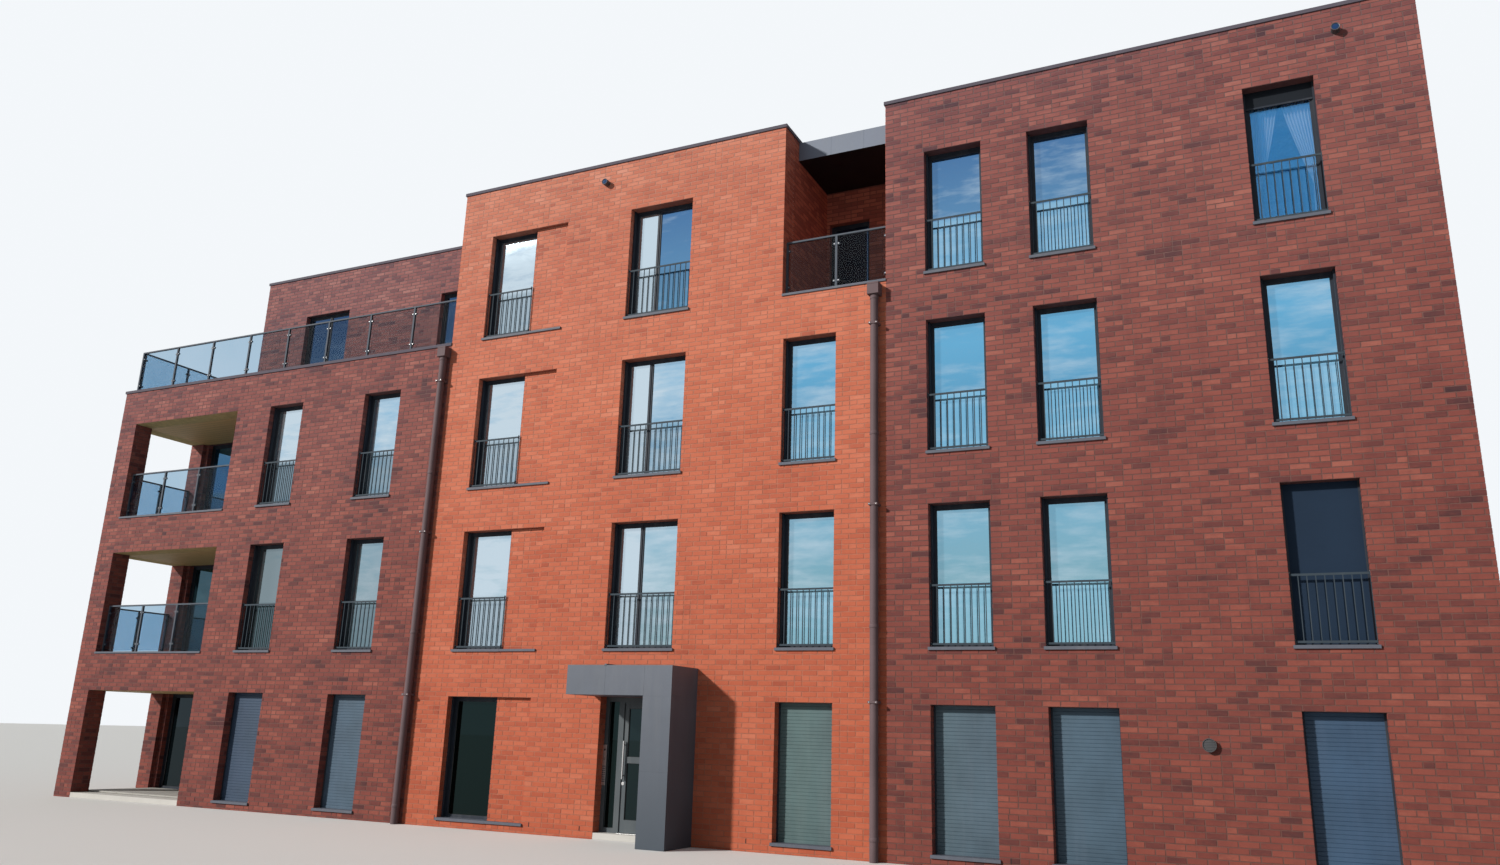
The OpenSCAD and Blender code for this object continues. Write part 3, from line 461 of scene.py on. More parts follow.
coping_metal = paint("coping_metal", (0.1, 0.088, 0.112), 0.7, marks=0.15, gloss=0.12)
frame_metal = paint("frame_metal", (0.018, 0.024, 0.036), 0.58, gloss=0.22)
sill_metal = paint("sill_metal", (0.1, 0.11, 0.14), 0.6, marks=0.3, gloss=0.25)
railing_metal = paint("railing_metal", (0.04, 0.056, 0.072), 0.65, marks=0.15, gloss=0.15)
balustrade_metal = paint("balustrade_metal", (0.085, 0.1, 0.125), 0.65, marks=0.15, gloss=0.15)
# Painted shade: the portal gets darker towards the ground
pillar_shade = (2.6, (0.055, 0.07, 0.09))
portal_metal = paint("portal_metal", (0.115, 0.13, 0.162), 0.55, vary=0.14, gloss=0.3, low_shade=pillar_shade)
# The underside of the recess roof is near black: painted shade of the deep recess
fascia_metal = paint("fascia_metal", (0.15, 0.178, 0.235), 0.5, gloss=0.3, under=(0.006, 0.005, 0.006))
door_metal = paint("door_metal", (0.06, 0.075, 0.085), 0.45, gloss=0.35)
pipe_metal = paint("pipe_metal", (0.125, 0.085, 0.092), 0.65, vary=0.2, marks=0.15, gloss=0.2)
fitting_metal = paint("fitting_metal", (0.05, 0.05, 0.055), 0.45)
# Painted reflections on the shutters, lighter and darker along the front
painted_shutter_reflections = (
    (0.19, (0.33, 0.4, 0.66)),
    (0.3, (0.66, 0.74, 1.0)),
    (0.65, (0.9, 1.0, 0.95)),
    (0.75, (0.78, 0.82, 1.0)),
    (0.84, (0.58, 0.7, 0.96)),
    (0.93, (0.4, 0.54, 0.9)),
)
shutter_metal = paint("shutter_metal", (0.09, 0.135, 0.145), 0.55, 0.22, 0.2, 0.3, reflections_along=painted_shutter_reflections)
rubber = paint("gasket_rubber", (0.012, 0.012, 0.013), 0.7, marks=0.1)

pull_steel, tree, shader = material("pull_steel")
brushed = use(tree, mottle, Scale=60.0, Contrast=1.5, Stretch=(1.0, 1.0, 0.03))
looks = {"Base Color": blend(tree, brushed, (0.5, 0.5, 0.5), (0.66, 0.66, 0.65)), "Metallic": 1.0}
fill(tree, shader, looks | {"Roughness": spread(tree, brushed, to=(0.24, 0.4))})
print("metals are ready")

# %% Concrete, gravel and the warm ceilings of the loggias
concrete, tree, shader = material("concrete")
spots = use(tree, mottle, Scale=2.2, Contrast=1.8)
looks = {"Base Color": blend(tree, spots, (0.5, 0.49, 0.46), (0.6, 0.58, 0.55)), "Roughness": 0.88}
fill(tree, shader, looks | {"Normal": use(tree, grain, Scale=40.0, Height=0.002, Strength=0.4)})

gravel, tree, shader = material("roof_gravel")
stones = add(tree, "ShaderNodeTexVoronoi", {"Vector": object_place(tree), "Scale": 26.0}).outputs
tone = add(tree, "ShaderNodeSeparateColor", {0: stones["Color"]}).outputs[0]
colour = blend(tree, tone, (0.24, 0.23, 0.22), (0.5, 0.48, 0.45))
patches = use(tree, mottle, Scale=0.6, Contrast=2.0)
colour = blend(tree, product(tree, patches, 0.35), colour, (0.2, 0.2, 0.15))
heap = {"Height": maths(tree, "SUBTRACT", 1.0, stones["Distance"]), "Distance": 0.02, "Strength": 0.8}
bumps = add(tree, "ShaderNodeBump", heap).outputs[0]
fill(tree, shader, {"Base Color": colour, "Normal": bumps, "Roughness": 0.9})

ochre_boards, tree, shader = material("ochre_boards")
board_w = 0.14
across = split(tree, object_place(tree))[1]
groove = maths(tree, "LESS_THAN", maths(tree, "FRACT", maths(tree, "DIVIDE", across, board_w)), 0.05)
fibres = use(tree, mottle, Scale=9.0, Contrast=1.8, Stretch=(0.12, 1.6, 1.6))
colour = blend(tree, fibres, (0.5, 0.33, 0.12), (0.64, 0.45, 0.19))
relief = {"Height": maths(tree, "SUBTRACT", 1.0, groove), "Distance": 0.004}
looks = {"Base Color": blend(tree, groove, colour, (0.12, 0.07, 0.03)), "Roughness": 0.6}
fill(tree, shader, looks | {"Normal": add(tree, "ShaderNodeBump", relief).outputs[0]})
print("concrete, gravel and boards are ready")


# %% Separate solids of one piece
def solids(node):
    """Lowest and highest corner of each separate solid of a node, from its triangles."""
    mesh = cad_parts[node].data
    places = np.empty(len(mesh.vertices) * 3)
    mesh.vertices.foreach_get("co", places)
    corners = np.empty(len(mesh.loops), int)
    mesh.loops.foreach_get("vertex_index", corners)
    spots, which = np.unique(places.reshape(-1, 3).round(4), axis=0, return_inverse=True)
    faces = which.reshape(-1)[corners].reshape(-1, 3)
    group = np.arange(len(spots))
    while True:
        lowest = group[faces].min(1)
        new = group.copy()
        np.minimum.at(new, faces.ravel(), np.repeat(lowest, 3))
        new = new[new]
        if (new == group).all():
            break
        group = new
    return [(spots[group == g].min(0), spots[group == g].max(0)) for g in np.unique(group)]


front_frames = solids("front_frames")
top_right = max(front_frames, key=lambda ends: ends[0][0] + ends[0][2] * 3)
clear_x, clear_z = ((float(top_right[0][axis]), float(top_right[1][axis])) for axis in (0, 2))
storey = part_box("floor_2")[1].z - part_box("floor_1")[1].z
left_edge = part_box("left_front_wall")[1].x
print(len(front_frames), "front frames; the see-through pane is at", [round(v, 2) for v in clear_x])

# %% Window glass
# Parts of the front whose panes get a painted reflection of their own, in metres
casement_x, wide_pane_x, top_storey_z = (0.4, 0.9), (0.9, 1.75), (9.0, 12.0)
# Painted reflections in the panes: clouds, dim and bright tones behind the railings, a shaded corner
cloud, dim_reflection, bright_reflection = (0.52, 0.62, 0.69), (0.06, 0.12, 0.16), (0.28, 0.58, 0.78)
shaded_corner, reflection_blue = (0.02, 0.05, 0.05), (0.045, 0.3, 0.68)
dim_share = ((0.19, 0.75), (0.3, 0.55), (0.41, 0.4), (0.62, 0.08), (0.72, 0.0))
bright_share = ((0.58, 0.0), (0.66, 0.4))
shaded_share = ((0.2, 0.68), (0.28, 0.36))


def sky_glass(name, skies, white, dark, clouds, see_through=0.0):
    """Panes with a painted reflection of a sky: deep blue high up, whiter to the left, dim behind the
    railings.
    """
    made, tree, shader = material(name)
    x, _, z = split(tree, object_place(tree))
    along = along_front(tree, x)
    drift = use(tree, mottle, Scale=0.7, Contrast=2.4, Stretch=(1.0, 1.0, 2.6))
    wisps = use(tree, mottle, Scale=2.2, Contrast=2.4, Stretch=(0.6, 0.6, 3.0))
    share = ramp(tree, along, white)
    share = maths(tree, "MULTIPLY_ADD", maths(tree, "SUBTRACT", drift, 0.5), clouds, share)
    share = maths(tree, "MULTIPLY_ADD", maths(tree, "SUBTRACT", wisps, 0.45), clouds, share)
    share = maths(tree, "MULTIPLY_ADD", within(tree, x, *casement_x), 0.5, share)
    deep = product(tree, within(tree, x, *wide_pane_x), within(tree, z, *top_storey_z))
    share = add(tree, "ShaderNodeClamp", {0: maths(tree, "MULTIPLY_ADD", deep, -0.7, share)}).outputs[0]
    colour = blend(tree, share, ramp(tree, maths(tree, "DIVIDE", z, wall_top), skies), cloud)
    storey_part = maths(tree, "FRACT", maths(tree, "DIVIDE", z, storey))
    dim = product(tree, spread(tree, storey_part, (0.35, 0.32)), ramp(tree, along, dim_share))
    colour = blend(tree, dim, colour, dim_reflection)
    bright = product(tree, maths(tree, "LESS_THAN", storey_part, 0.34), ramp(tree, along, bright_share))
    colour = blend(tree, bright, colour, bright_reflection)
    left, low = maths(tree, "LESS_THAN", x, left_edge), maths(tree, "LESS_THAN", z, 2 * storey)
    colour = blend(tree, product(tree, left, low, ramp(tree, along, shaded_share)), colour, shaded_corner)
    # Painted reflection: the panes get darker low down
    colour = blend(tree, spread(tree, z, (2.6, 2.3)), colour, dark)
    if see_through:
        hole = product(tree, within(tree, x, *clear_x), within(tree, z, *clear_z))
        # Painted reflection: a deep blue between the curtains
        colour = blend(tree, product(tree, hole, 0.85), colour, reflection_blue)
        fill(tree, shader, {"Alpha": maths(tree, "MULTIPLY_ADD", hole, -see_through, 1.0)})
    rough = spread(tree, drift, to=(0.01, 0.025))
    fill(tree, shader, {"Base Color": colour, "Roughness": rough, "Metallic": 0.8})
    return made


day_sky = (
    (0.24, (0.2, 0.35, 0.36)),
    (0.4, (0.19, 0.4, 0.52)),
    (0.54, (0.1, 0.3, 0.47)),
    (0.64, (0.125, 0.38, 0.59)),
    (0.78, (0.11, 0.26, 0.43)),
    (0.95, (0.05, 0.14, 0.32)),
)
white_share = ((0.2, 1.0), (0.29, 0.6), (0.41, 1.0), (0.54, 0.55), (0.65, 0.13), (0.77, 0.0), (0.95, 0.13))
# Dimmer painted skies: painted shade on the glazed doors and the entrance door
shaded_sky = tuple((at, (red * 0.25, green * 0.34, blue * 0.42)) for at, (red, green, blue) in day_sky)
no_white = ((0.0, 0.0), (1.0, 0.02))
window_glass = sky_glass("window_glass", day_sky, white_share, (0.004, 0.014, 0.014), 0.5, 0.6)
balcony_pane = sky_glass("balcony_pane", shaded_sky, no_white, (0.01, 0.02, 0.025), 0.12)
door_pane = sky_glass("door_pane", shaded_sky, no_white, (0.012, 0.024, 0.026), 0.12)
print("window glass is ready")

# %% Clear glass of the balustrades, and the woven screens
clear_glass, tree, shader = material("clear_glass")
pent_x, pent_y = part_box("penthouse_front_wall")[0].x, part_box("penthouse_front_wall")[0].y
tint = use(tree, mottle, Scale=0.8, Contrast=1.5)
# Painted reflection: a blue tint where the glass stands before the sky, a grey one before the penthouse wall
before_brick = maths(tree, "GREATER_THAN", split(tree, object_place(tree))[0], pent_x + 2.3)
sky_side = blend(tree, tint, (0.1, 0.28, 0.46), (0.18, 0.35, 0.52))
wall_side = blend(tree, tint, (0.26, 0.33, 0.38), (0.34, 0.41, 0.46))
fill(tree, shader, {"Base Color": blend(tree, before_brick, sky_side, wall_side), "Alpha": 0.55})
fill(tree, shader, {"Transmission Weight": 1.0, "Roughness": 0.0, "IOR": 1.0})
fill(tree, shader, {"Coat Weight": 0.3, "Coat Roughness": 0.0})


def weave_of(tree, vector, density, first, second, **more):
    """Threads that cross: two fine waves, multiplied."""
    values = {"Vector": vector, "Scale": density, **more}
    waves = [add(tree, "ShaderNodeTexWave", values, bands_direction=way) for way in (first, second)]
    return product(tree, *(wave.outputs["Fac"] for wave in waves))


screen_cloth, tree, shader = material("screen_cloth")
where = object_place(tree)
woven = product(tree, weave_of(tree, where, 90.0, "Z", "X", Distortion=0.3), 0.5)
woven = maths(tree, "MULTIPLY_ADD", use(tree, mottle, Scale=1.2, Contrast=2.0), 0.5, woven)
cloth = blend(tree, woven, (0.005, 0.016, 0.036), (0.012, 0.03, 0.062))
# The short screen of the top storey gets a darker cloth: painted shade of the window head
shaded_top_screen = maths(tree, "GREATER_THAN", split(tree, where)[2], 3 * storey)
cloth = blend(tree, shaded_top_screen, cloth, (0.004, 0.007, 0.012))
fill(tree, shader, {"Base Color": cloth, "Roughness": 0.7, "Specular IOR Level": 0.2})
print("clear glass and cloth are ready")

# %% Finish of each solid piece
finishes = {
    "ground_floor floor_1 floor_2 floor_3": concrete,
    "main_roof penthouse_roof": gravel,
    "left_front_wall corner_pier left_end_wall left_back_wall": dark_wall,
    "loggia_bands": band_wall,
    "loggia_soffits": ochre_boards,
    "right_front_wall right_end_wall right_back_wall": dark_wall,
    "middle_wall_left middle_wall_right middle_wall_upper middle_wall_top middle_back_wall": orange_wall,
    "loggia_back_walls loggia_side_walls": dark_inner_wall,
    "penthouse_front_wall penthouse_end_wall penthouse_back_wall": dark_inner_wall,
    "middle_side_walls": orange_inner_wall,
    "recess_side_walls recess_back_wall": recess_wall,
    "recess_roof": fascia_metal,
    "entrance_portal": portal_metal,
    "left_coping main_coping penthouse_coping": coping_metal,
    "front_frames rear_frames balcony_door_frames": frame_metal,
    "front_glass rear_glass": window_glass,
    "balcony_door_glass": balcony_pane,
    "balustrade_glass": clear_glass,
    "window_sills opening_copings": sill_metal,
    "front_railings rear_railings": railing_metal,
    "roller_shutters": shutter_metal,
    "window_screens": screen_cloth,
    "opening_balustrades roof_balustrades roof_end_balustrade": balustrade_metal,
    "door_frame entrance_door": door_metal,
    "door_glass": door_pane,
    "door_pulls call_panel": pull_steel,
    "downpipes": pipe_metal,
    "wall_fittings": fitting_metal,
}
finished = 0
for names, finish in finishes.items():
    for name in names.split():
        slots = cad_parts[name].data.materials
        slots.clear()
        slots.append(finish)
        finished += 1
print(finished, "of", len(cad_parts), "solid pieces have their finish")

# %% [markdown]
# ## Laying the bricks
#
# A bricklayer works in courses. The course height divides the storey evenly, every
# second course is shifted by half a brick, and bricks are cut where a wall ends or a
# window starts. The layout is worked out here in plain Python: each brick becomes one
# point with its length, its height and the way it faces. Geometry Nodes then put a
# brick with chipped edges on every point. The mortar is the solid wall behind.

# %% Courses on one face of a wall
courses_in_storey, sill_drop = 37, 0.1
course = storey / courses_in_storey
first_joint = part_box("front_frames")[0].z - sill_drop
brick_step, whole_brick, joint, lap = 0.25, 0.24, 0.01, 0.004
# The shortest brick, the lowest and the narrowest cut piece, and the play between two measures
shortest, lowest_cut, thinnest_cut, play = 0.035, 0.02, 0.005, 0.001
# How many of the whole bricks are laid as two halves
snapped_share = 0.16
FACINGS = {"front": 0.0, "rear": math.pi, "left": -math.pi / 2, "right": math.pi / 2}
wall_names = "left_front middle_front right_front left_rear middle_rear right_rear left_end right_end "
wall_names += "penthouse terrace_side recess loggias"
walls = {name: [] for name in wall_names.split()}


def free_spans(u0, u1, low, high, gaps):
    """Stretches of one course from u0 to u1 that no gap takes, with what is left of their height."""
    near = [g for g in gaps if g[2] < high - play and g[3] > low + play]
    edges = sorted({u0, u1, *(min(max(e, u0), u1) for g in near for e in g[:2])})
    spans = []
    for a, b in zip(edges, edges[1:]):
        bottom, top = low, high
        for g in near:
            if not g[0] < (a + b) / 2 < g[1]:
                continue
            if g[2] <= bottom + play and g[3] >= top - play:
                top = bottom
            elif g[2] > bottom:
                top = min(top, g[2])
            else:
                bottom = max(bottom, g[3])
        if top - bottom < lowest_cut or b - a < thinnest_cut:
            continue
        if spans and abs(spans[-1][1] - a) < 1e-6 and spans[-1][2:] == [bottom, top]:
            spans[-1][1] = b
        else:
            spans.append([a, b, bottom, top])
    return spans


def lay(wall, facing, at, u0, u1, z0, z1, gaps=()):
    """Adds the bricks of one face, which runs from u0 to u1 along the wall."""
    own_seed = int(abs(at) * 1000 + abs(u0) * 100 + z0 * 10) % 99991
    chance = np.random.default_rng(own_seed)
    for k in range(math.floor((z0 - first_joint) / course), math.ceil((z1 - first_joint) / course)):
        bed = first_joint + k * course
        low, high = max(bed + joint / 2, z0), min(bed + course - joint / 2, z1)
        if high - low < lowest_cut:
            continue
        shift = (k % 2) * brick_step / 2
        for a, b, bottom, top in free_spans(u0, u1, low, high, gaps):
            first = math.ceil((a - shift) / brick_step)
            marks = [shift + n * brick_step for n in range(first, math.floor((b - shift) / brick_step) + 1)]
            marks = [a] + [m for m in marks if a + shortest < m < b - shortest] + [b]
            for p, q in zip(marks, marks[1:]):
                snapped = q - p > whole_brick and chance.random() < snapped_share
                cuts = [p, (p + q) / 2, q] if snapped else [p, q]
                for s, e in zip(cuts, cuts[1:]):
                    s, e = (s - lap if s == a else s + joint / 2), (e + lap if e == b else e - joint / 2)
                    u, z = (s + e) / 2, (bottom + top) / 2
                    point = (u, at, z) if facing in ("front", "rear") else (at, u, z)
                    walls[wall].append((*point, e - s, top - bottom, FACINGS[facing]))


print("course height", round(course * 1000, 1), "mm, and the sills lie on a joint at", round(first_joint, 3))

# %% Windows and other openings, read from the solid pieces
rear_frames = solids("rear_frames")
front_holes = [(a[0], b[0], a[2], b[2]) for a, b in front_frames]
rear_holes = [(a[0], b[0], a[2], b[2]) for a, b in rear_frames if a[1] > rear_y - wall_t]
end_holes = [(a[1], b[1], a[2], b[2]) for a, b in rear_frames if a[1] <= rear_y - wall_t]
reveal = max(float(a[1]) for a, b in front_frames) - front_y
middle_x, right_x = (corner.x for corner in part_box("middle_back_wall"))
low_top, coping_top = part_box("left_front_wall")[1].z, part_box("left_coping")[1].z
pier_x, recess_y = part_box("corner_pier")[1].x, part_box("recess_back_wall")[0].y
roof_low, roof_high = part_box("recess_roof")
recess_x, roof_z = roof_low.x, roof_low.z
pent_rear_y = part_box("penthouse_back_wall")[1].y
door_low, door_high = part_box("door_frame")
portal_low, portal_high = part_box("entrance_portal")
doorway = (door_low.x, door_high.x, 0, door_high.z)
roof_hold = (portal_low.x, portal_high.x, door_high.z, portal_high.z)
pillar_hold = (door_high.x, portal_high.x, 0, door_high.z)
panel_w, panel_d, first_window_in = 0.77, 0.08, 0.76
first_windows = [h for h in front_holes if abs(h[0] - (middle_x + first_window_in)) < 0.02]
panels = [(h[1], h[1] + panel_w, h[2], h[3]) for h in first_windows]
bands = solids("loggia_bands")
front_bands = [(a, b) for a, b in bands if b[0] > pier_x]
side_bands = [(a, b) for a, b in bands if b[0] <= pier_x]
jamb_y = float(side_bands[0][1][1])


def doors_near(y, reach=0.3):
    """Holes of the glazed doors in the wall at y."""
    frames = solids("balcony_door_frames")
    return [(a[0], b[0], a[2], b[2]) for a, b in frames if abs(a[1] - y) < reach]


print(len(front_holes), "front windows,", len(rear_holes), "rear windows,", len(end_holes), "end windows")

# %% Bricks of the front, the rear and the ends
F, R = front_y, rear_y
lay("left_front", "front", F, left_x, pier_x, 0, low_top)
lay("left_front", "front", F, loggia_x, middle_x, 0, low_top, front_holes)
for a, b in front_bands:
    lay("left_front", "front", F, pier_x, loggia_x, a[2], b[2])
held = [doorway, roof_hold, pillar_hold, (recess_x, right_x, low_top, 99)]
lay("middle_front", "front", F, middle_x, right_x, 0, wall_top, [*front_holes, *held, *panels])
lay("right_front", "front", F, right_x, end_x, 0, wall_top, front_holes)
lay("left_rear", "rear", R, left_x, middle_x, 0, low_top, rear_holes)
lay("middle_rear", "rear", R, middle_x, right_x, 0, wall_top, rear_holes)
lay("right_rear", "rear", R, right_x, end_x, 0, wall_top, rear_holes)
lay("right_end", "right", end_x, F, R, 0, wall_top)
lay("left_end", "left", left_x, F, F + wall_t, 0, low_top)
lay("left_end", "left", left_x, jamb_y, R, 0, low_top, end_holes)
for a, b in side_bands:
    lay("left_end", "left", left_x, F + wall_t, jamb_y, a[2], b[2])

# The shallow panels beside the first windows of the middle block
for x0, x1, z0, z1 in panels:
    lay("middle_front", "front", F + panel_d, x0, x1, z0, z1)
    lay("middle_front", "left", x1, F, F + panel_d, z0, z1)
print(sum(map(len, walls.values())), "bricks so far")

# %% Bricks of the penthouse, the roof recess and the loggias
door_reveal, fascia_in = 0.11, 0.59
for facing, y in (("front", pent_y), ("rear", pent_rear_y)):
    doors = doors_near(y, 0.6)
    lay("penthouse", facing, y, pent_x, middle_x, low_top, wall_top, doors)
    for x0, x1, z0, z1 in doors:
        depth = (y, y + door_reveal) if facing == "front" else (y - door_reveal, y)
        lay("penthouse", "right", x0, *depth, z0, z1)
        lay("penthouse", "left", x1, *depth, z0, z1)
lay("penthouse", "left", pent_x, pent_y, pent_rear_y, low_top, wall_top)
lay("terrace_side", "left", middle_x, F, pent_y, coping_top, wall_top)
lay("terrace_side", "left", middle_x, pent_rear_y, R, coping_top, wall_top)
for facing, x in (("right", recess_x), ("left", right_x)):
    lay("recess", facing, x, F, recess_y, low_top, wall_top, [(F + fascia_in, 99, roof_z, 99)])
lay("recess", "front", recess_y, recess_x, right_x, low_top, roof_z, doors_near(recess_y))

head_h = 2.2
inner_x, inner_y = left_x + wall_t, F + wall_t
round_loggia = (
    ("left", loggia_x, inner_y, loggia_y),
    ("left", loggia_x, F, inner_y),
    ("right", pier_x, F, inner_y),
    ("rear", inner_y, left_x, pier_x),
    ("front", jamb_y, left_x, inner_x),
    ("right", inner_x, jamb_y, loggia_y),
)
for a, b in front_bands:
    head = float(a[2])
    base = max(head - head_h, 0.1)
    lay("loggias", "front", loggia_y, inner_x, loggia_x, base, head, doors_near(loggia_y))
    for face in round_loggia:
        lay("loggias", *face, base, head)
print(sum(map(len, walls.values())), "bricks so far")

# %% Bricks of the reveals
for holes, row, y0, y1 in ((front_holes, "_front", F, F + reveal), (rear_holes, "_rear", R - reveal, R)):
    for x0, x1, z0, z1 in holes:
        wall = ("left" if x0 < middle_x else "middle" if x0 < right_x else "right") + row
        beside_panel = row == "_front" and any(abs(panel[0] - x1) < 0.01 for panel in panels)
        lay(wall, "right", x0, y0, y1, z0, z1)
        lay(wall, "left", x1, y0 + panel_d if beside_panel else y0, y1, z0, z1)
for y0, y1, z0, z1 in end_holes:
    lay("left_end", "rear", y0, left_x, left_x + reveal, z0, z1)
    lay("left_end", "front", y1, left_x, left_x + reveal, z0, z1)
lay("middle_front", "right", door_low.x, F, F + reveal, 0.1, door_high.z)
print({name: len(face) for name, face in walls.items()}, sum(map(len, walls.values())), "bricks")

# %% [markdown]
# ## A tree that makes bricks from points
#
# The unit brick is a cube whose front corners are drawn in a little, as an edge that is
# chipped and rounded would look. The tree places it on every point, turns it to its
# wall, stretches it to its own length and height, and gives it a tone: mostly chance,
# partly a noise over the wall, because bricks from one firing are laid near each other.


# %% Helpers for Geometry Nodes
def geometry_tree(name, ins):
    """A tree with a geometry input and output, and named inputs with their values."""
    made = bpy.data.node_groups.new(name, "GeometryNodeTree")
    made.interface.new_socket("Geometry", in_out="INPUT", socket_type="NodeSocketGeometry")
    made.interface.new_socket("Geometry", in_out="OUTPUT", socket_type="NodeSocketGeometry")
    kinds = {float: "NodeSocketFloat", int: "NodeSocketInt", bpy.types.Material: "NodeSocketMaterial"}
    for label, value in ins.items():
        socket = made.interface.new_socket(label, in_out="INPUT", socket_type=kinds[type(value)])
        socket.default_value = value
    return made, made.nodes.new("NodeGroupInput").outputs, made.nodes.new("NodeGroupOutput")


def named(tree, name, kind="FLOAT"):
    """Reads an attribute that the points carry."""
    reader = add(tree, "GeometryNodeInputNamedAttribute", {"Name": name}, data_type=kind)
    return next(s for s in reader.outputs if s.enabled and s.name == "Attribute")


def store(tree, geometry, name, value, kind="FLOAT", domain="POINT"):
    """Keeps a value under a name on the geometry."""
    values = {"Geometry": geometry, "Name": name}
    made = add(tree, "GeometryNodeStoreNamedAttribute", values, data_type=kind, domain=domain)
    tree.links.new(value, next(s for s in made.inputs if s.enabled and s.name == "Value"))
    return made.outputs[0]


def any_number(tree, seed):
    """A number by chance from 0 to 1 for each point."""
    made = add(tree, "FunctionNodeRandomValue", {"Seed": seed}, data_type="FLOAT")
    return next(s for s in made.outputs if s.enabled)


def on_points(tree, points, shape, **values):
    values |= {"Points": points, "Instance": shape}
    return add(tree, "GeometryNodeInstanceOnPoints", values).outputs[0]


def realize(tree, geometry):
    return add(tree, "GeometryNodeRealizeInstances", {"Geometry": geometry}).outputs[0]


def hand_out(tree, geometry, finish, end):
    """Sets the material and ends the tree."""
    done = add(tree, "GeometryNodeSetMaterial", {"Geometry": geometry, "Material": finish})
    tree.links.new(done.outputs[0], end.inputs[0])


def points_object(points, **values):
    """A mesh of single points, with a number or a vector for each point under each name."""
    mesh = bpy.data.meshes.new("points")
    mesh.from_pydata(np.asarray(points, float).reshape(-1, 3).tolist(), [], [])
    for label, column in values.items():
        column = np.asarray(column, np.float32)
        kind, field = ("FLOAT", "value") if column.ndim == 1 else ("FLOAT_VECTOR", "vector")
        mesh.attributes.new(label, kind, "POINT").data.foreach_set(field, column.ravel())
    made = bpy.data.objects.new("points", mesh)
    scene.collection.objects.link(made)
    return made


def show(name, mesh):
    piece = bpy.data.objects.new(name, mesh)
    scene.collection.objects.link(piece)
    print(name, len(mesh.polygons), "faces")
    return piece


def grow(holder, tree, name, slot, body="building", **values):
    """Runs a tree on an object and keeps the result as a plain mesh that rides on a body."""
    modifier = holder.modifiers.new("tree", "NODES")
    modifier.node_group = tree
    for item in tree.interface.items_tree:
        label = item.name.replace(" ", "_")
        if item.in_out == "INPUT" and label in values:
            modifier[item.identifier] = values.pop(label)
    assert not values, values
    bpy.context.view_layer.update()
    evaluated = holder.evaluated_get(bpy.context.evaluated_depsgraph_get())
    result = bpy.data.meshes.new_from_object(evaluated)
    bpy.data.objects.remove(holder)
    result.name = name
    piece = show(name, result)
    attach(piece, body)


# %% The brick tree
sizes = {"Proud": 0.004, "Edge": 0.04, "Patch size": 0.7, "Darker": 0.0, "Seed": 4, "Finish": dark_brick}
brick_tree, start, end = geometry_tree("bricks_on_points", sizes)
T = brick_tree
cube = add(T, "GeometryNodeMeshCube", {"Size": (1, 1, 1)}).outputs["Mesh"]
spot = add(T, "GeometryNodeInputPosition").outputs[0]
is_front = {"A": split(T, spot)[1], "B": 0.0}
is_front = add(T, "FunctionNodeCompare", is_front, data_type="FLOAT", operation="LESS_THAN").outputs[0]
drawn_in = maths(T, "SUBTRACT", 1.0, start["Edge"])
more_at_beds = maths(T, "MULTIPLY_ADD", start["Edge"], -2.6, 1.0)
moved = vector_maths(T, "MULTIPLY", spot, join(T, drawn_in, 1.0, more_at_beds))
unit = {"Geometry": cube, "Selection": is_front, "Position": moved}
unit = add(T, "GeometryNodeSetPosition", unit).outputs[0]
depth = maths(T, "MULTIPLY_ADD", any_number(T, start["Seed"]), 0.5, 1.6)
size = join(T, named(T, "length"), product(T, start["Proud"], depth), named(T, "height"))
laid = on_points(T, start[0], unit, Rotation=join(T, z=named(T, "turn")), Scale=size)
patch = {"Vector": spot, "Scale": start["Patch size"], "Detail": 3.0}
patch = add(T, "ShaderNodeTexNoise", patch).outputs[0]
uneven = maths(T, "POWER", any_number(T, maths(T, "ADD", start["Seed"], 7)), 0.8)
tone = maths(T, "MULTIPLY_ADD", uneven, 0.62, maths(T, "MULTIPLY_ADD", patch, 0.7, -0.12))
# The tone is lowered where shade is painted on the bricks
tone = maths(T, "SUBTRACT", tone, start["Darker"])
hand_out(T, realize(T, store(T, laid, "tone", tone, domain="INSTANCE")), start["Finish"], end)

for number, (name, face) in enumerate(walls.items()):
    rows = np.array(face)
    orange = name.startswith("middle") or name in ("terrace_side", "recess")
    slot, finish = ("orange_brick", orange_brick) if orange else ("dark_brick", dark_brick)
    # Bricks of the roof recess get a lower tone: painted shade of the deep recess
    recess_shade = 0.45 if name == "recess" else 0.0
    holder = points_object(rows[:, :3], length=rows[:, 3], height=rows[:, 4], turn=rows[:, 5])
    grow(holder, brick_tree, "bricks_" + name, slot, Seed=number, Darker=recess_shade, Finish=finish)

# %% [markdown]
# ## Rounded blocks
#
# Slabs, metal strips, clamps, plates and buttons are all blocks with softened edges.
# One tree makes them. It puts a cube of 4 x 4 x 4 corners on every point, keeps each
# corner's place in an attribute, and then moves the corners so that the block gets its
# own size while the rounding stays the same width on all of them. Scaling a bevelled
# block would stretch its edges, so the size is worked out corner by corner.

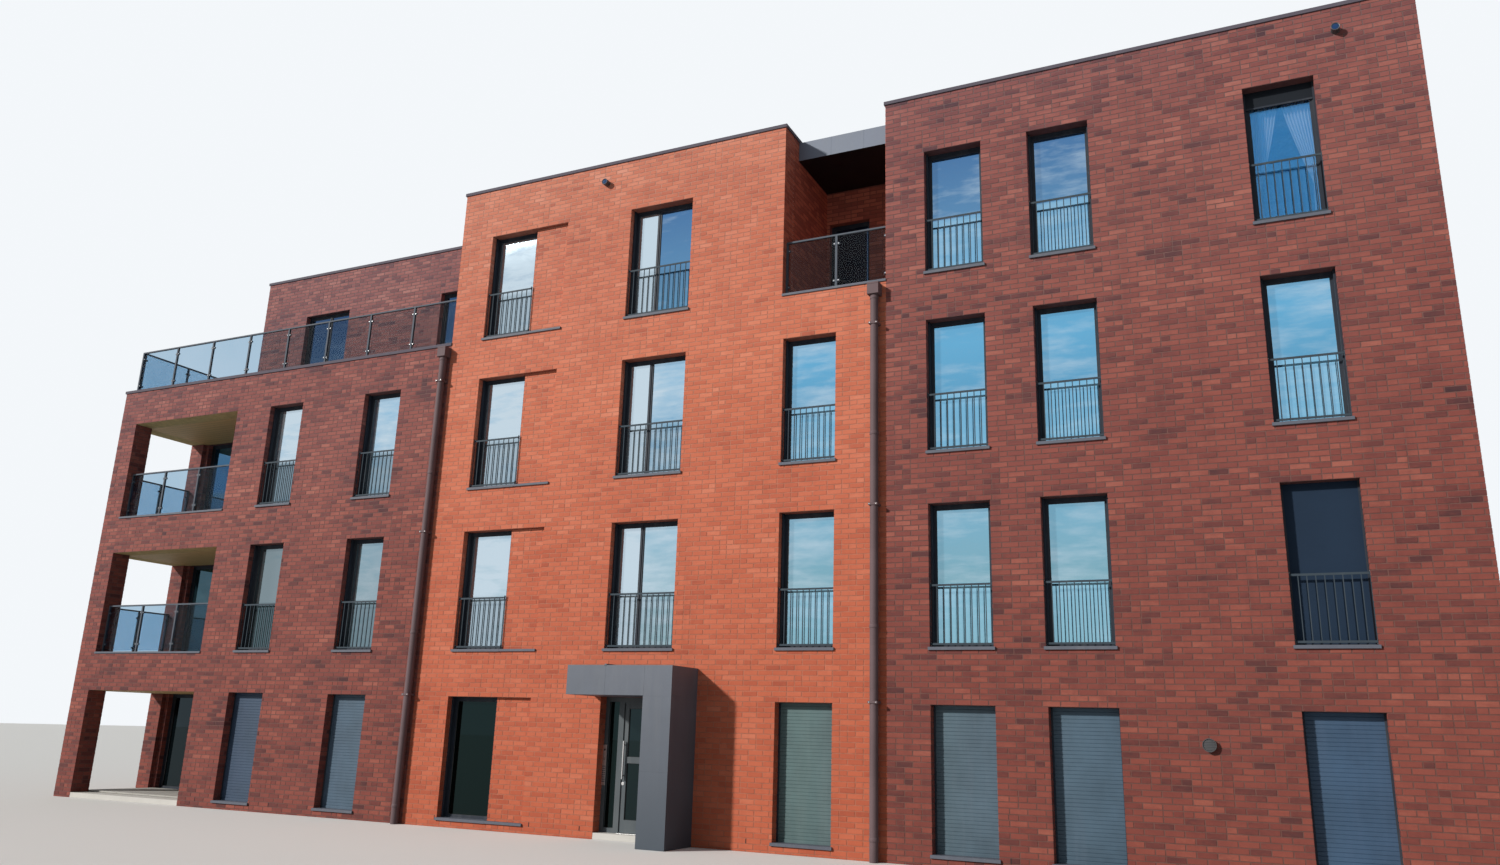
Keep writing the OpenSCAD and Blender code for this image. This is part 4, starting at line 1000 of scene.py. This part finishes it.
# %% The tree for rounded blocks
sizes = {"Rounding": 0.003, "Seed": 1, "Finish": concrete}
block_tree, start, end = geometry_tree("rounded_blocks", sizes)
T = block_tree
cube = {"Size": (1, 1, 1), "Vertices X": 4, "Vertices Y": 4, "Vertices Z": 4}
cube = add(T, "GeometryNodeMeshCube", cube).outputs[0]
cube = store(T, cube, "corner", add(T, "GeometryNodeInputPosition").outputs[0], "FLOAT_VECTOR")
placed = on_points(T, start[0], cube)
real = realize(T, store(T, placed, "tone", any_number(T, start["Seed"]), domain="INSTANCE"))
corner, size = named(T, "corner", "FLOAT_VECTOR"), named(T, "size", "FLOAT_VECTOR")
# outer is 1 along each axis on which a corner lies at the very side of the cube
outer = vector_maths(T, "MULTIPLY", vector_maths(T, "ABSOLUTE", corner), (2.02, 2.02, 2.02))
outer = vector_maths(T, "FLOOR", outer)
# inset is how far it stays off that side, in roundings: 0 on a face, 0.3 on an edge, else 1
count = add(T, "ShaderNodeVectorMath", {0: outer, 1: (1, 1, 1)}, operation="DOT_PRODUCT").outputs["Value"]
pull = maths(T, "MULTIPLY_ADD", maths(T, "GREATER_THAN", count, 1.5), 0.3, -1.0)
inset = vector_maths(T, "MULTIPLY_ADD", outer, join(T, pull, pull, pull), (1, 1, 1))
inset = vector_maths(T, "MULTIPLY", inset, join(T, *[start["Rounding"]] * 3))
target = vector_maths(T, "SUBTRACT", vector_maths(T, "MULTIPLY", size, (0.5, 0.5, 0.5)), inset)
target = vector_maths(T, "MAXIMUM", target, vector_maths(T, "MULTIPLY", size, (0.15, 0.15, 0.15)))
target = vector_maths(T, "MULTIPLY", target, vector_maths(T, "SIGN", corner))
shaped = {"Geometry": real, "Offset": vector_maths(T, "SUBTRACT", target, corner)}
hand_out(T, add(T, "GeometryNodeSetPosition", shaped).outputs[0], start["Finish"], end)


def blocks(name, rows, finish, slot, rounding=0.003):
    """One piece of many rounded blocks; each row is the centre and the size of a block."""
    rows = np.array(rows, float)
    holder = points_object(rows[:, :3], size=rows[:, 3:])
    grow(holder, block_tree, name, slot, Rounding=rounding, Finish=finish)


def block(low, high):
    """The row for a block from its lowest to its highest corner."""
    low, high = np.array(low, float), np.array(high, float)
    return [*((low + high) / 2), *(high - low)]


print("the block tree has", len(T.nodes), "nodes")

# %% [markdown]
# ## Slabs of the roof terrace and the loggias
#
# The terrace and the loggias are laid with concrete slabs, 500 mm square, with open
# joints of 5 mm. They are 40 mm thick on the terrace and 30 mm elsewhere. Slabs are cut
# where they meet a wall. Each slab has its own grey, from the tone that the tree stored.

# %% Slab finish and layout
slab_concrete, tree, shader = material("slab_concrete")
tone = product(tree, add(tree, "ShaderNodeAttribute", attribute_name="tone").outputs["Fac"], 0.5)
tone = maths(tree, "MULTIPLY_ADD", use(tree, mottle, Scale=5.0, Contrast=2.0), 0.5, tone)
looks = {"Base Color": blend(tree, tone, (0.3, 0.29, 0.27), (0.46, 0.45, 0.42)), "Roughness": 0.85}
fill(tree, shader, looks | {"Normal": use(tree, grain, Scale=150.0, Height=0.002, Strength=0.5)})


def paving(x0, x1, y0, y1, top, thick=0.03, slab=0.5, gap=0.005, least=0.02):
    """Slabs between two corners, cut at the far edges, where none is narrower than least."""
    rows = []
    for i in range(math.ceil((x1 - x0 - least) / slab)):
        for j in range(math.ceil((y1 - y0 - least) / slab)):
            a, b = x0 + i * slab, y0 + j * slab
            low = (a + gap / 2, b + gap / 2, top - thick)
            rows.append(block(low, (min(a + slab, x1) - gap / 2, min(b + slab, y1) - gap / 2, top)))
    return rows


# The terrace in front of the penthouse, beside it and behind it
edge, near_wall, terrace_top = 0.06, 0.02, low_top + 0.045
west, east = left_x + wall_t + edge, middle_x - near_wall
y0, y1, y2, y3 = F + wall_t + edge, pent_y - near_wall, pent_rear_y + near_wall, R - wall_t - edge
terrace = paving(west, east, y0, y1, terrace_top, 0.04)
terrace += paving(west, pent_x - near_wall, y1, y2, terrace_top, 0.04)
terrace += paving(west, east, y2, y3, terrace_top, 0.04)
blocks("terrace_slabs", terrace, slab_concrete, "concrete", 0.004)

# Floors of the loggias, which lie a little below the tops of the bands, and of the roof recess
band_h, below_band, on_floor = 0.8, 0.03, 0.035
loggia_floors = [0.1] + [float(a[2] + band_h - below_band) for a, b in front_bands]
paved, gap = [], 0.01
for top in [level for level in loggia_floors if level < low_top - 0.1]:
    paved += paving(inner_x + gap, loggia_x - gap, inner_y + gap, loggia_y - gap, top + on_floor)
paved += paving(recess_x + gap, right_x - gap, inner_y + gap, recess_y - gap, low_top + on_floor)
blocks("loggia_slabs", paved, slab_concrete, "concrete")

# %% [markdown]
# ## Small metal parts
#
# Sheet copings come in lengths of about three metres, joined by narrow cover strips.
# The railings stand between the reveals on small plates. The panes of the balustrades
# are held by clamps at their edges. All of these are rounded blocks, and their screws
# come from a second tree, which sets a washer with a hexagon head on every point.

# %% The tree for screws and other round parts
sizes = {"Radius": 0.009, "Height": 0.003, "Head": 0.6, "Sides": 12, "Head sides": 6, "Finish": pull_steel}
screw_tree, start, end = geometry_tree("round_parts", sizes)
T = screw_tree
lying = (math.pi / 2, 0, 0)


def lying_disc(sides, radius, out):
    """A disc that lies on the wall, moved off it by its own height times out."""
    disc = {"Vertices": sides, "Radius": radius, "Depth": start["Height"]}
    disc = add(T, "GeometryNodeMeshCylinder", disc).outputs[0]
    off_wall = join(T, y=product(T, start["Height"], -out))
    return add(T, "GeometryNodeTransform", {"Geometry": disc, "Translation": off_wall, "Rotation": lying})


washer = lying_disc(start["Sides"], start["Radius"], 0.5)
head = lying_disc(start["Head sides"], product(T, start["Radius"], start["Head"]), 1.4)
both = add(T, "GeometryNodeJoinGeometry")
for disc in (washer, head):
    T.links.new(disc.outputs[0], both.inputs[0])
placed = on_points(T, start[0], both.outputs[0], Rotation=join(T, z=named(T, "turn")))
hand_out(T, realize(T, placed), start["Finish"], end)


def round_parts(name, rows, slot="pull_steel", body="building", **values):
    """One piece of many round parts; each row is a place and the way that it faces."""
    holder = points_object([r[:3] for r in rows], turn=[FACINGS[r[3]] for r in rows])
    grow(holder, screw_tree, name, slot, body, **values)


print("the screw tree has", len(T.nodes), "nodes")

# %% Cover strips on the copings
strips, strip_w, over, sheet_l, first_strip = [], 0.05, 0.0015, 3.0, 1.6
for node in ("left_coping", "main_coping", "penthouse_coping"):
    low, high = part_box(node)
    main = node == "main_coping"
    z0, z1, across = low.z + 0.001, high.z + 0.001, wall_t + strip_w + over
    for x in np.arange(low.x + first_strip, high.x - 0.5, sheet_l):
        for y in (low.y, high.y - wall_t - strip_w):
            if main and y < 0 and recess_x - 0.3 < x < right_x + 0.3:
                continue
            strips.append(block((x, y - over, z0), (x + strip_w, y + across, z1)))
    for y in np.arange(low.y + first_strip, high.y - 1.0, sheet_l):
        for x in (low.x, high.x - wall_t - strip_w) if main else (low.x,):
            if main and x == low.x and pent_y - 0.5 < y < pent_rear_y + 0.5:
                continue
            strips.append(block((x - over, y, z0), (x + across, y + strip_w, z1)))
blocks("coping_strips", strips, coping_metal, "coping_metal", 0.0015)


# %% Plates and screws of the railings, clamps of the balustrades
def holds(node, down, inwards):
    """Four places near the ends of each solid: the place, the axis that the solid runs along, the way in."""
    for low, high in solids(node):
        axis = 0 if high[1] - low[1] < 0.05 else 1
        for z in (low[2] + down, high[2] - down):
            for end_at, way in ((low, 1), (high, -1)):
                centre = (low + high) / 2
                centre[2] = z
                centre[axis] = end_at[axis] + way * inwards
                yield centre, axis, way


def turned_to(axis, along, across, tall):
    return (along, across, tall) if axis == 0 else (across, along, tall)


plates, screws, half_plate = [], [], 0.003
for node in ("front_railings", "rear_railings"):
    for centre, axis, way in holds(node, 0.015, 2 * half_plate):
        plates.append([*centre, *turned_to(axis, 0.006, 0.034, 0.07)])
        facing = (("right", "left"), ("rear", "front"))[axis][way < 0]
        for up in (-0.026, 0.026):
            spot = centre + [0, 0, up]
            spot[axis] += way * half_plate
            screws.append((*spot, facing))
blocks("railing_plates", plates, railing_metal, "railing_metal", 0.002)
round_parts("railing_screws", screws, Radius=0.006, Height=0.002, Sides=8)

clamps, screws, half_clamp = [], [], 0.016
for centre, axis, way in holds("balustrade_glass", 0.14, 0.019):
    clamps.append([*centre, *turned_to(axis, 0.038, 0.032, 0.04)])
    for facing, out in zip((("front", "rear"), ("left", "right"))[axis], (-half_clamp, half_clamp)):
        spot = centre.copy()
        spot[1 - axis] += out
        screws.append((*spot, facing))
blocks("balustrade_clamps", clamps, balustrade_metal, "balustrade_metal", 0.004)
round_parts("clamp_screws", screws, Radius=0.006, Height=0.0015, Sides=10)

# %% [markdown]
# ## Rubber round the panes
#
# Every pane sits in a black rubber strip. It is a rectangle of wire in the size of the
# pane, swept with a small square. The tree scales the rectangle first and sweeps it
# afterwards, so the rubber is as wide on a large pane as on a small one.

# %% The tree for rubber strips
rubber_tree, start, end = geometry_tree("pane_rubbers", {"Width": 0.013, "Finish": rubber})
T = rubber_tree


def rectangle(wide, high):
    return add(T, "GeometryNodeCurvePrimitiveQuadrilateral", {"Width": wide, "Height": high}).outputs[0]


outline = add(T, "GeometryNodeTransform", {"Geometry": rectangle(1.0, 1.0), "Rotation": lying}).outputs[0]
size = join(T, named(T, "width"), 1.0, named(T, "height"))
placed = on_points(T, start[0], outline, Rotation=join(T, z=named(T, "turn")), Scale=size)
swept = {"Curve": realize(T, placed), "Profile Curve": rectangle(start["Width"], start["Width"])}
hand_out(T, add(T, "GeometryNodeCurveToMesh", swept).outputs[0], start["Finish"], end)


def rubbers(name, rows, slot, body="building"):
    """One piece of rubber strips; each row is the middle of a pane, its width, its height and its turn."""
    rows = np.array(rows)
    holder = points_object(rows[:, :3], width=rows[:, 3], height=rows[:, 4], turn=rows[:, 5])
    grow(holder, rubber_tree, name, slot, body)


print("the rubber tree has", len(T.nodes), "nodes")

# %% Rubber for every pane
rows = []
for node in ("front_glass", "rear_glass", "balcony_door_glass"):
    for low, high in solids(node):
        middle = (low + high) / 2
        if high[0] - low[0] < 0.05:
            rows.append((low[0], middle[1], middle[2], high[1] - low[1], high[2] - low[2], math.pi / 2))
        else:
            outside = high[1] if middle[1] > 0.5 else low[1]
            rows.append((middle[0], outside, middle[2], high[0] - low[0], high[2] - low[2], 0.0))
rubbers("pane_rubbers", rows, "frame_metal")
rows = []
for low, high in solids("door_glass"):
    x, _, z = (low + high) / 2
    rows += [(x, y, z, high[0] - low[0], high[2] - low[2], 0.0) for y in (low[1], high[1])]
rubbers("door_rubbers", rows, "door_metal", "door")

# %% [markdown]
# ## Fittings of the windows and the door
#
# Inside, each window has a lever handle, which points down when it is closed. The
# shutters end in a bar, and so does the screen. Windows whose shutter is rolled up
# have dark guide rails before the frame, and the sills of the first windows of the
# middle block go on under the brick panels. The entrance has a lock below its pull, a
# flat threshold, and a call panel with blank buttons, a loudspeaker behind small holes
# and a lens.

# %% Window handles
# Plate, neck and lever: out from the frame, up, wide, deep and tall
handle_parts = (
    (0.005, 0.0, 0.028, 0.01, 0.065),
    (0.028, 0.0, 0.014, 0.046, 0.014),
    (0.044, -0.055, 0.018, 0.014, 0.124),
)
handles, handle_level, from_edge = [], 1.0, 0.037
for low, high in front_frames + rear_frames:
    in_end_wall = high[0] - low[0] < 0.2
    inside, way = (high[0], 1) if in_end_wall else (high[1], 1) if low[1] < 0 else (low[1], -1)
    for out, up, wide, deep, tall in handle_parts:
        off, z = inside + way * out, low[2] + handle_level + up
        if in_end_wall:
            handles.append([off, high[1] - from_edge, z, deep, wide, tall])
        else:
            handles.append([high[0] - from_edge, off, z, wide, deep, tall])
blocks("window_handles", handles, pull_steel, "pull_steel")

# %% Bars, panel sills and guides
bars, bar_h = [], 0.045
for (x0, y0, z0), (x1, y1, _) in solids("roller_shutters"):
    bars.append(block((x0 + 0.002, y0 - 0.004, z0), (x1 - 0.002, y1 + 0.003, z0 + bar_h)))
blocks("shutter_bars", bars, shutter_metal, "shutter")
bars, bar_h = [], 0.028
for (x0, y0, z0), (x1, y1, _) in solids("window_screens"):
    bars.append(block((x0, y0 - 0.006, z0 - 0.002), (x1, y1 + 0.004, z0 + bar_h)))
blocks("screen_bars", bars, frame_metal, "screen", 0.004)
sills = []
for x0, x1, z0, z1 in panels:
    sills.append(block((x0 + 0.02, F - 0.034, z0 - 0.0185), (x1 + 0.018, F + panel_d + 0.005, z0 + 0.0235)))
blocks("panel_sills", sills, sill_metal, "sill_metal")
# The guides are real parts, and their dark metal also stands in for the shade on the jambs
guides, in_wall, guide_w, at_frame = [], 0.004, 0.034, F + reveal
for (x0, x1, z0, z1), (low, high) in zip(front_holes, front_frames):
    if low[1] < at_frame - 0.01:
        continue
    for a, b in ((x0 - in_wall, x0 + guide_w), (x1 - guide_w, x1 + in_wall)):
        guides.append(block((a, at_frame - 0.07, z0 + 0.024), (b, at_frame + 0.002, z1)))
blocks("shutter_guides", guides, frame_metal, "frame_metal")

# %% Threshold and lock
leaf_low, leaf_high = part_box("entrance_door")
ground_top, threshold_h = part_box("ground_floor")[1].z, 0.0045
foot = (leaf_low.x + 0.02, door_low.y - 0.05, ground_top)
threshold = block(foot, (leaf_high.x - 0.03, door_high.y, ground_top + threshold_h))
blocks("threshold", [threshold], pull_steel, "pull_steel", 0.0015)
pull_low, pull_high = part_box("door_pulls")
pull_x, lock_z = (pull_low.x + pull_high.x) / 2, pull_low.z - 0.07
# The leaf's box also holds its hinges, so its inner face comes from its thickness
leaf_t = 0.07
lock = {"Radius": 0.026, "Height": 0.007, "Head": 0.38, "Sides": 32, "Head_sides": 24}
for name, facing, y in (("lock_outside", "front", leaf_low.y), ("lock_inside", "rear", leaf_low.y + leaf_t)):
    round_parts(name, [(pull_x, y, lock_z, facing)], body="door", **lock)

# %% Call panel
panel_low, panel_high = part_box("call_panel")
across, face_y = (panel_low.x + panel_high.x) / 2, panel_low.y
buttons, button_rows, button_step = [], 8, 0.034
for row in range(button_rows):
    z = panel_low.z + 0.06 + row * button_step
    buttons += [[across + aside, face_y - 0.001, z, 0.024, 0.004, 0.018] for aside in (-0.016, 0.016)]
blocks("call_buttons", buttons, balustrade_metal, "pull_steel", 0.0015)
holes, hole_rows, hole_columns, hole_step, row_step = [], 7, 6, 0.007, 0.006
for row in range(hole_rows):
    for column in range(hole_columns):
        x = across + (column - (hole_columns - 1) / 2) * hole_step
        x += (row % 2) * hole_step / 2 - hole_step / 4
        holes.append((x, face_y + 0.0004, panel_low.z + 0.4 + row * row_step, "front"))
round_parts("call_loudspeaker", holes, "frame_metal", Radius=0.002, Height=0.0008, Sides=8, Finish=rubber)
lens = {"Radius": 0.018, "Height": 0.002, "Head": 0.6, "Sides": 32, "Head_sides": 24, "Finish": fitting_metal}
round_parts("call_lens", [(across, face_y, panel_high.z - 0.08, "front")], "frame_metal", **lens)
levels = (panel_low.z + 0.012, panel_high.z - 0.012)
corners = [(across + aside, face_y, z, "front") for aside in (-0.028, 0.028) for z in levels]
round_parts("call_screws", corners, Radius=0.0035, Height=0.001, Sides=10)

# %% [markdown]
# ## Downpipes, wall fittings, portal and vents
#
# The downpipes are joined by sockets and held by clips at each storey. The two fittings
# under the parapet get a lens, the one near the ground a small louvre. The portal is
# clad in sheets, with narrow joint strips where two sheets meet. Brick outer walls
# have small vents in the upright joints of a low course, which let the wall dry; they
# are shown here as dark plastic inserts.


# %% Turned parts
def soften(mesh, limit=35):
    """Turns all faces outwards, and shades them smooth except across sharp edges."""
    work = bmesh.new()
    work.from_mesh(mesh)
    bmesh.ops.remove_doubles(work, verts=work.verts, dist=1e-6)
    bmesh.ops.recalc_face_normals(work, faces=work.faces)
    for edge in work.edges:
        edge.smooth = edge.is_manifold and edge.calc_face_angle(0) < math.radians(limit)
    for face in work.faces:
        face.smooth = True
    work.to_mesh(mesh)
    work.free()


def turned(name, profile, centres, finish, lying_down=False, sides=40):
    """Spins a closed outline of (radius, height) pairs round an upright or lying axis."""
    profile, count = np.array(profile, float), len(profile)
    angle = np.arange(sides) * 2 * math.pi / sides
    ring = np.stack([np.outer(np.cos(angle), profile[:, 0]), np.outer(np.sin(angle), profile[:, 0])], -1)
    height = np.broadcast_to(profile[:, 1], (sides, count))[..., None]
    points = np.concatenate([ring, height], -1).reshape(-1, 3)
    if lying_down:
        points = points[:, [0, 2, 1]] * (1, -1, 1)
    vertices, faces = [], []
    for centre in centres:
        shift = len(vertices)
        vertices += (points + centre).tolist()
        for i in range(sides):
            here, after = shift + i * count, shift + (i + 1) % sides * count
            for j in range(count):
                k = (j + 1) % count
                faces.append((here + j, after + j, after + k, here + k))
    mesh = bpy.data.meshes.new(name)
    mesh.from_pydata(vertices, [], faces)
    mesh.materials.append(finish)
    soften(mesh)
    piece = show(name, mesh)
    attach(piece, "building")


pipe_r, collars, rims, bolts = 0.065, [], [], []
socket_levels, clip_levels = (0.28, 3.3, 6.3), (2.2, 5.17, 8.14)
for (x0, y0, _), (x1, y1, top) in solids("downpipes"):
    x, y, hopper_z = (x0 + x1) / 2, front_y - 0.035 - pipe_r, top - 0.2
    collars += [(x, y, z) for z in (*socket_levels, hopper_z - 0.075)]
    rims.append(block((x0 - 0.004, y0 - 0.004, top - 0.03), (x1 + 0.004, y1, top)))
    rims.append(block((x0 - 0.003, y0 - 0.003, hopper_z), (x1 + 0.003, y1, hopper_z + 0.018)))
    for z in clip_levels:
        bolts += [(x + aside, y - pipe_r - 0.01, z + 0.0175, "front") for aside in (-0.055, 0.055)]
outline = ((-0.003, 0), (0.005, 0), (0.007, 0.01), (0.005, 0.05), (-0.003, 0.062))
turned("pipe_sockets", [(pipe_r + out, up) for out, up in outline], collars, pipe_metal)
blocks("hopper_rims", rims, pipe_metal, "pipe_metal")
round_parts("pipe_bolts", bolts, Radius=0.007, Height=0.003, Sides=10)

# %% Lamps under the parapet and the louvre
rings, slats, rim, slat_step = [], [], 0.012, 0.02
for low, high in solids("wall_fittings"):
    centre, radius = (low + high) / 2, (high[0] - low[0]) / 2
    on_wall = (centre[0], low[1], centre[2])
    if centre[2] > 5:
        rings.append(on_wall)
        continue
    for k in range(-3, 4):
        half = math.sqrt(max(0.0, (radius - rim) ** 2 - (k * slat_step) ** 2))
        slats.append([centre[0], low[1] - 0.002, centre[2] + k * slat_step, 2 * half, 0.012, 0.008])
    bezel = [(radius - rim, 0), (radius + 0.002, 0), (radius + 0.002, 0.012), (radius - 0.006, 0.012)]
    turned("vent_ring", bezel, [on_wall], fitting_metal, True)
blocks("vent_louvres", slats, fitting_metal, "fitting_metal", 0.002)
bezel = [(0.045, -0.004), (0.061, -0.004), (0.061, 0.006), (0.056, 0.009), (0.048, 0.006)]
turned("lamp_rings", bezel, rings, fitting_metal, True)
lens = [(0.0005, -0.003), (0.046, -0.003), (0.046, 0.002), (0.03, 0.008), (0.0005, 0.011)]
turned("lamp_lenses", lens, rings, door_pane, True)

# %% Joint strips of the portal and the recess roof
seams, half, proud, deep, to_wall = [], 0.006, 0.0015, 0.01, front_y - 0.005
px0, px1, py, pz = portal_low.x, portal_high.x, portal_low.y, portal_high.z
pillar_x, under_z = door_high.x, door_high.z
beam_x = (px0 + pillar_x) / 2
seams.append(block((pillar_x - half, py - proud, under_z), (pillar_x + half, py + deep, pz)))
for z in (under_z / 2, under_z):
    seams.append(block((pillar_x, py - proud, z - half), (px1, py + deep, z + half)))
    seams.append(block((px1 - deep, py, z - half), (px1 + proud, to_wall, z + half)))
seams.append(block((beam_x - half, py - proud, under_z), (beam_x + half, py + deep, pz)))
seams.append(block((beam_x - 0.02, py, pz - 0.01), (beam_x + 0.02, to_wall, pz + 0.02)))
blocks("portal_seams", seams, portal_metal, "portal_metal", 0.001)
seams, half, roof_y = [], 0.008, roof_low.y
for k in (1, 2):
    x = roof_low.x + (roof_high.x - roof_low.x) * k / 3
    seams.append(block((x - half, roof_y - 0.002, roof_low.z), (x + half, roof_y + 0.01, roof_high.z)))
blocks("fascia_seams", seams, fascia_metal, "portal_metal", 0.001)


# %% Vents in the upright joints
def in_opening(x, z, near=0.02):
    """Whether a place on the front or the rear lies in an opening or right beside it."""
    openings = front_holes + rear_holes + [doorway, pillar_hold]
    return any(h[0] - near < x < h[1] + near and h[2] < z < h[3] for h in openings)


vents, vent_course, every, from_end = [], 1, 4, 0.1
shift, vent_z = (vent_course % 2) * brick_step / 2, first_joint + (vent_course + 0.5) * course
for y, way, x0 in ((front_y, 1, loggia_x + from_end), (rear_y, -1, left_x + from_end)):
    last = math.floor((end_x - from_end - shift) / brick_step)
    for n in range(math.ceil((x0 - shift) / brick_step), last + 1):
        x = shift + n * brick_step
        if n % every == 0 and not in_opening(x, vent_z):
            vents.append([x, y - way * 0.002, vent_z, 0.008, 0.008, course - joint])
blocks("joint_vents", vents, rubber, "fitting_metal", 0.001)

# %% [markdown]
# ## Curtains behind the top right window
#
# Two white curtains are drawn apart and tied back, so they meet at the top and open
# towards the foot. Gathered cloth keeps its width: where the curtain gets narrower, its
# folds get deeper. Each row of the cloth is therefore given just the fold depth at which
# the row is as long as the cloth is wide.

# %% Curtain cloth
curtain_cloth, tree, shader = material("curtain_cloth")
own = add(tree, "ShaderNodeUVMap", uv_map="cloth").outputs[0]
weave = weave_of(tree, own, 160.0, "Y", "X", Distortion=0.5, Detail=1.0)
relief = add(tree, "ShaderNodeBump", {"Height": weave, "Distance": 0.0006, "Strength": 0.4}).outputs[0]
# The white cloth has a painted blue tint of the sky light
looks = {"Base Color": blend(tree, weave, (0.76, 0.84, 0.9), (0.86, 0.92, 0.95)), "Normal": relief}
fill(tree, shader, looks | {"Roughness": 0.85, "Sheen Weight": 0.3})

win_x0, win_x1 = clear_x
hang_y, top_z = front_y + 0.315, clear_z[1] - 0.03
cloth_w, cloth_l, folds, cloth_rows, cloth_cols = 0.9, 2.08, 9, 60, 145
# How far down the curtains are tied, and how much of their width the tie takes away
tie_at, tie_share, side_gap = 0.72, 0.78, 0.03


def row_points(width):
    """A row of folds that is as long as the cloth is wide, within the given width."""
    t = np.linspace(0, 1, cloth_cols)
    shape = np.sin(t * folds * 2 * math.pi)
    low, high = 0.0, 0.08
    for _ in range(30):
        depth = (low + high) / 2
        length = np.hypot(np.diff(t * width), np.diff(shape * depth)).sum()
        low, high = (depth, high) if length < cloth_w else (low, depth)
    return t * width, shape * depth


def curtain(name, side):
    """side is -1 for the left curtain and 1 for the right one."""
    outer = win_x0 + side_gap if side < 0 else win_x1 - side_gap
    half_w = abs((win_x0 + win_x1) / 2 - outer)
    vertices, faces = [], []
    for i in range(cloth_rows):
        v = i / (cloth_rows - 1)
        drawn = min(1.0, v / tie_at)
        width = half_w * (1 - tie_share * drawn**1.25) + 0.09 * max(0.0, v - tie_at)
        along, depth = row_points(width)
        sag = 0.05 * math.sin(math.pi * drawn) * (along / width)
        z = top_z - v * cloth_l - sag * 0.3
        y = hang_y + depth * 0.9 + 0.004 * np.sin(v * 9 + along * 20)
        vertices += np.stack([outer - side * along, y, z], 1).tolist()
    for i in range(cloth_rows - 1):
        for j in range(cloth_cols - 1):
            a = i * cloth_cols + j
            quad = (a, a + 1, a + cloth_cols + 1, a + cloth_cols)
            faces.append(quad if side > 0 else quad[::-1])
    mesh = bpy.data.meshes.new(name)
    mesh.from_pydata(vertices, [], faces)
    mesh.polygons.foreach_set("use_smooth", [True] * len(faces))
    index = np.empty(len(mesh.loops), int)
    mesh.loops.foreach_get("vertex_index", index)
    across, down = (index % cloth_cols) / (cloth_cols - 1), (index // cloth_cols) / (cloth_rows - 1)
    flat = np.stack([across * cloth_w, down * cloth_l], 1).astype(np.float32)
    mesh.uv_layers.new(name="cloth").data.foreach_set("uv", flat.ravel())
    mesh.materials.append(curtain_cloth)
    piece = show(name, mesh)
    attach(piece, "building")
    area = sum(face.area for face in mesh.polygons)
    print(name, "area", round(area, 3), "of", round(cloth_w * cloth_l, 3), "square metres")


rail = block((win_x0 + 0.005, hang_y - 0.01, top_z), (win_x1 - 0.005, hang_y + 0.01, top_z + 0.022))
blocks("curtain_rail", [rail], balustrade_metal, "balustrade_metal", 0.004)
for name, side in (("curtain_left", -1), ("curtain_right", 1)):
    curtain(name, side)

# %% Finish
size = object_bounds()
{"solid": [list(v) for v in solid_size], "visual": [list(v) for v in size]}
print("solid model", [list(v) for v in solid_size], "with its finish", [list(v) for v in size])
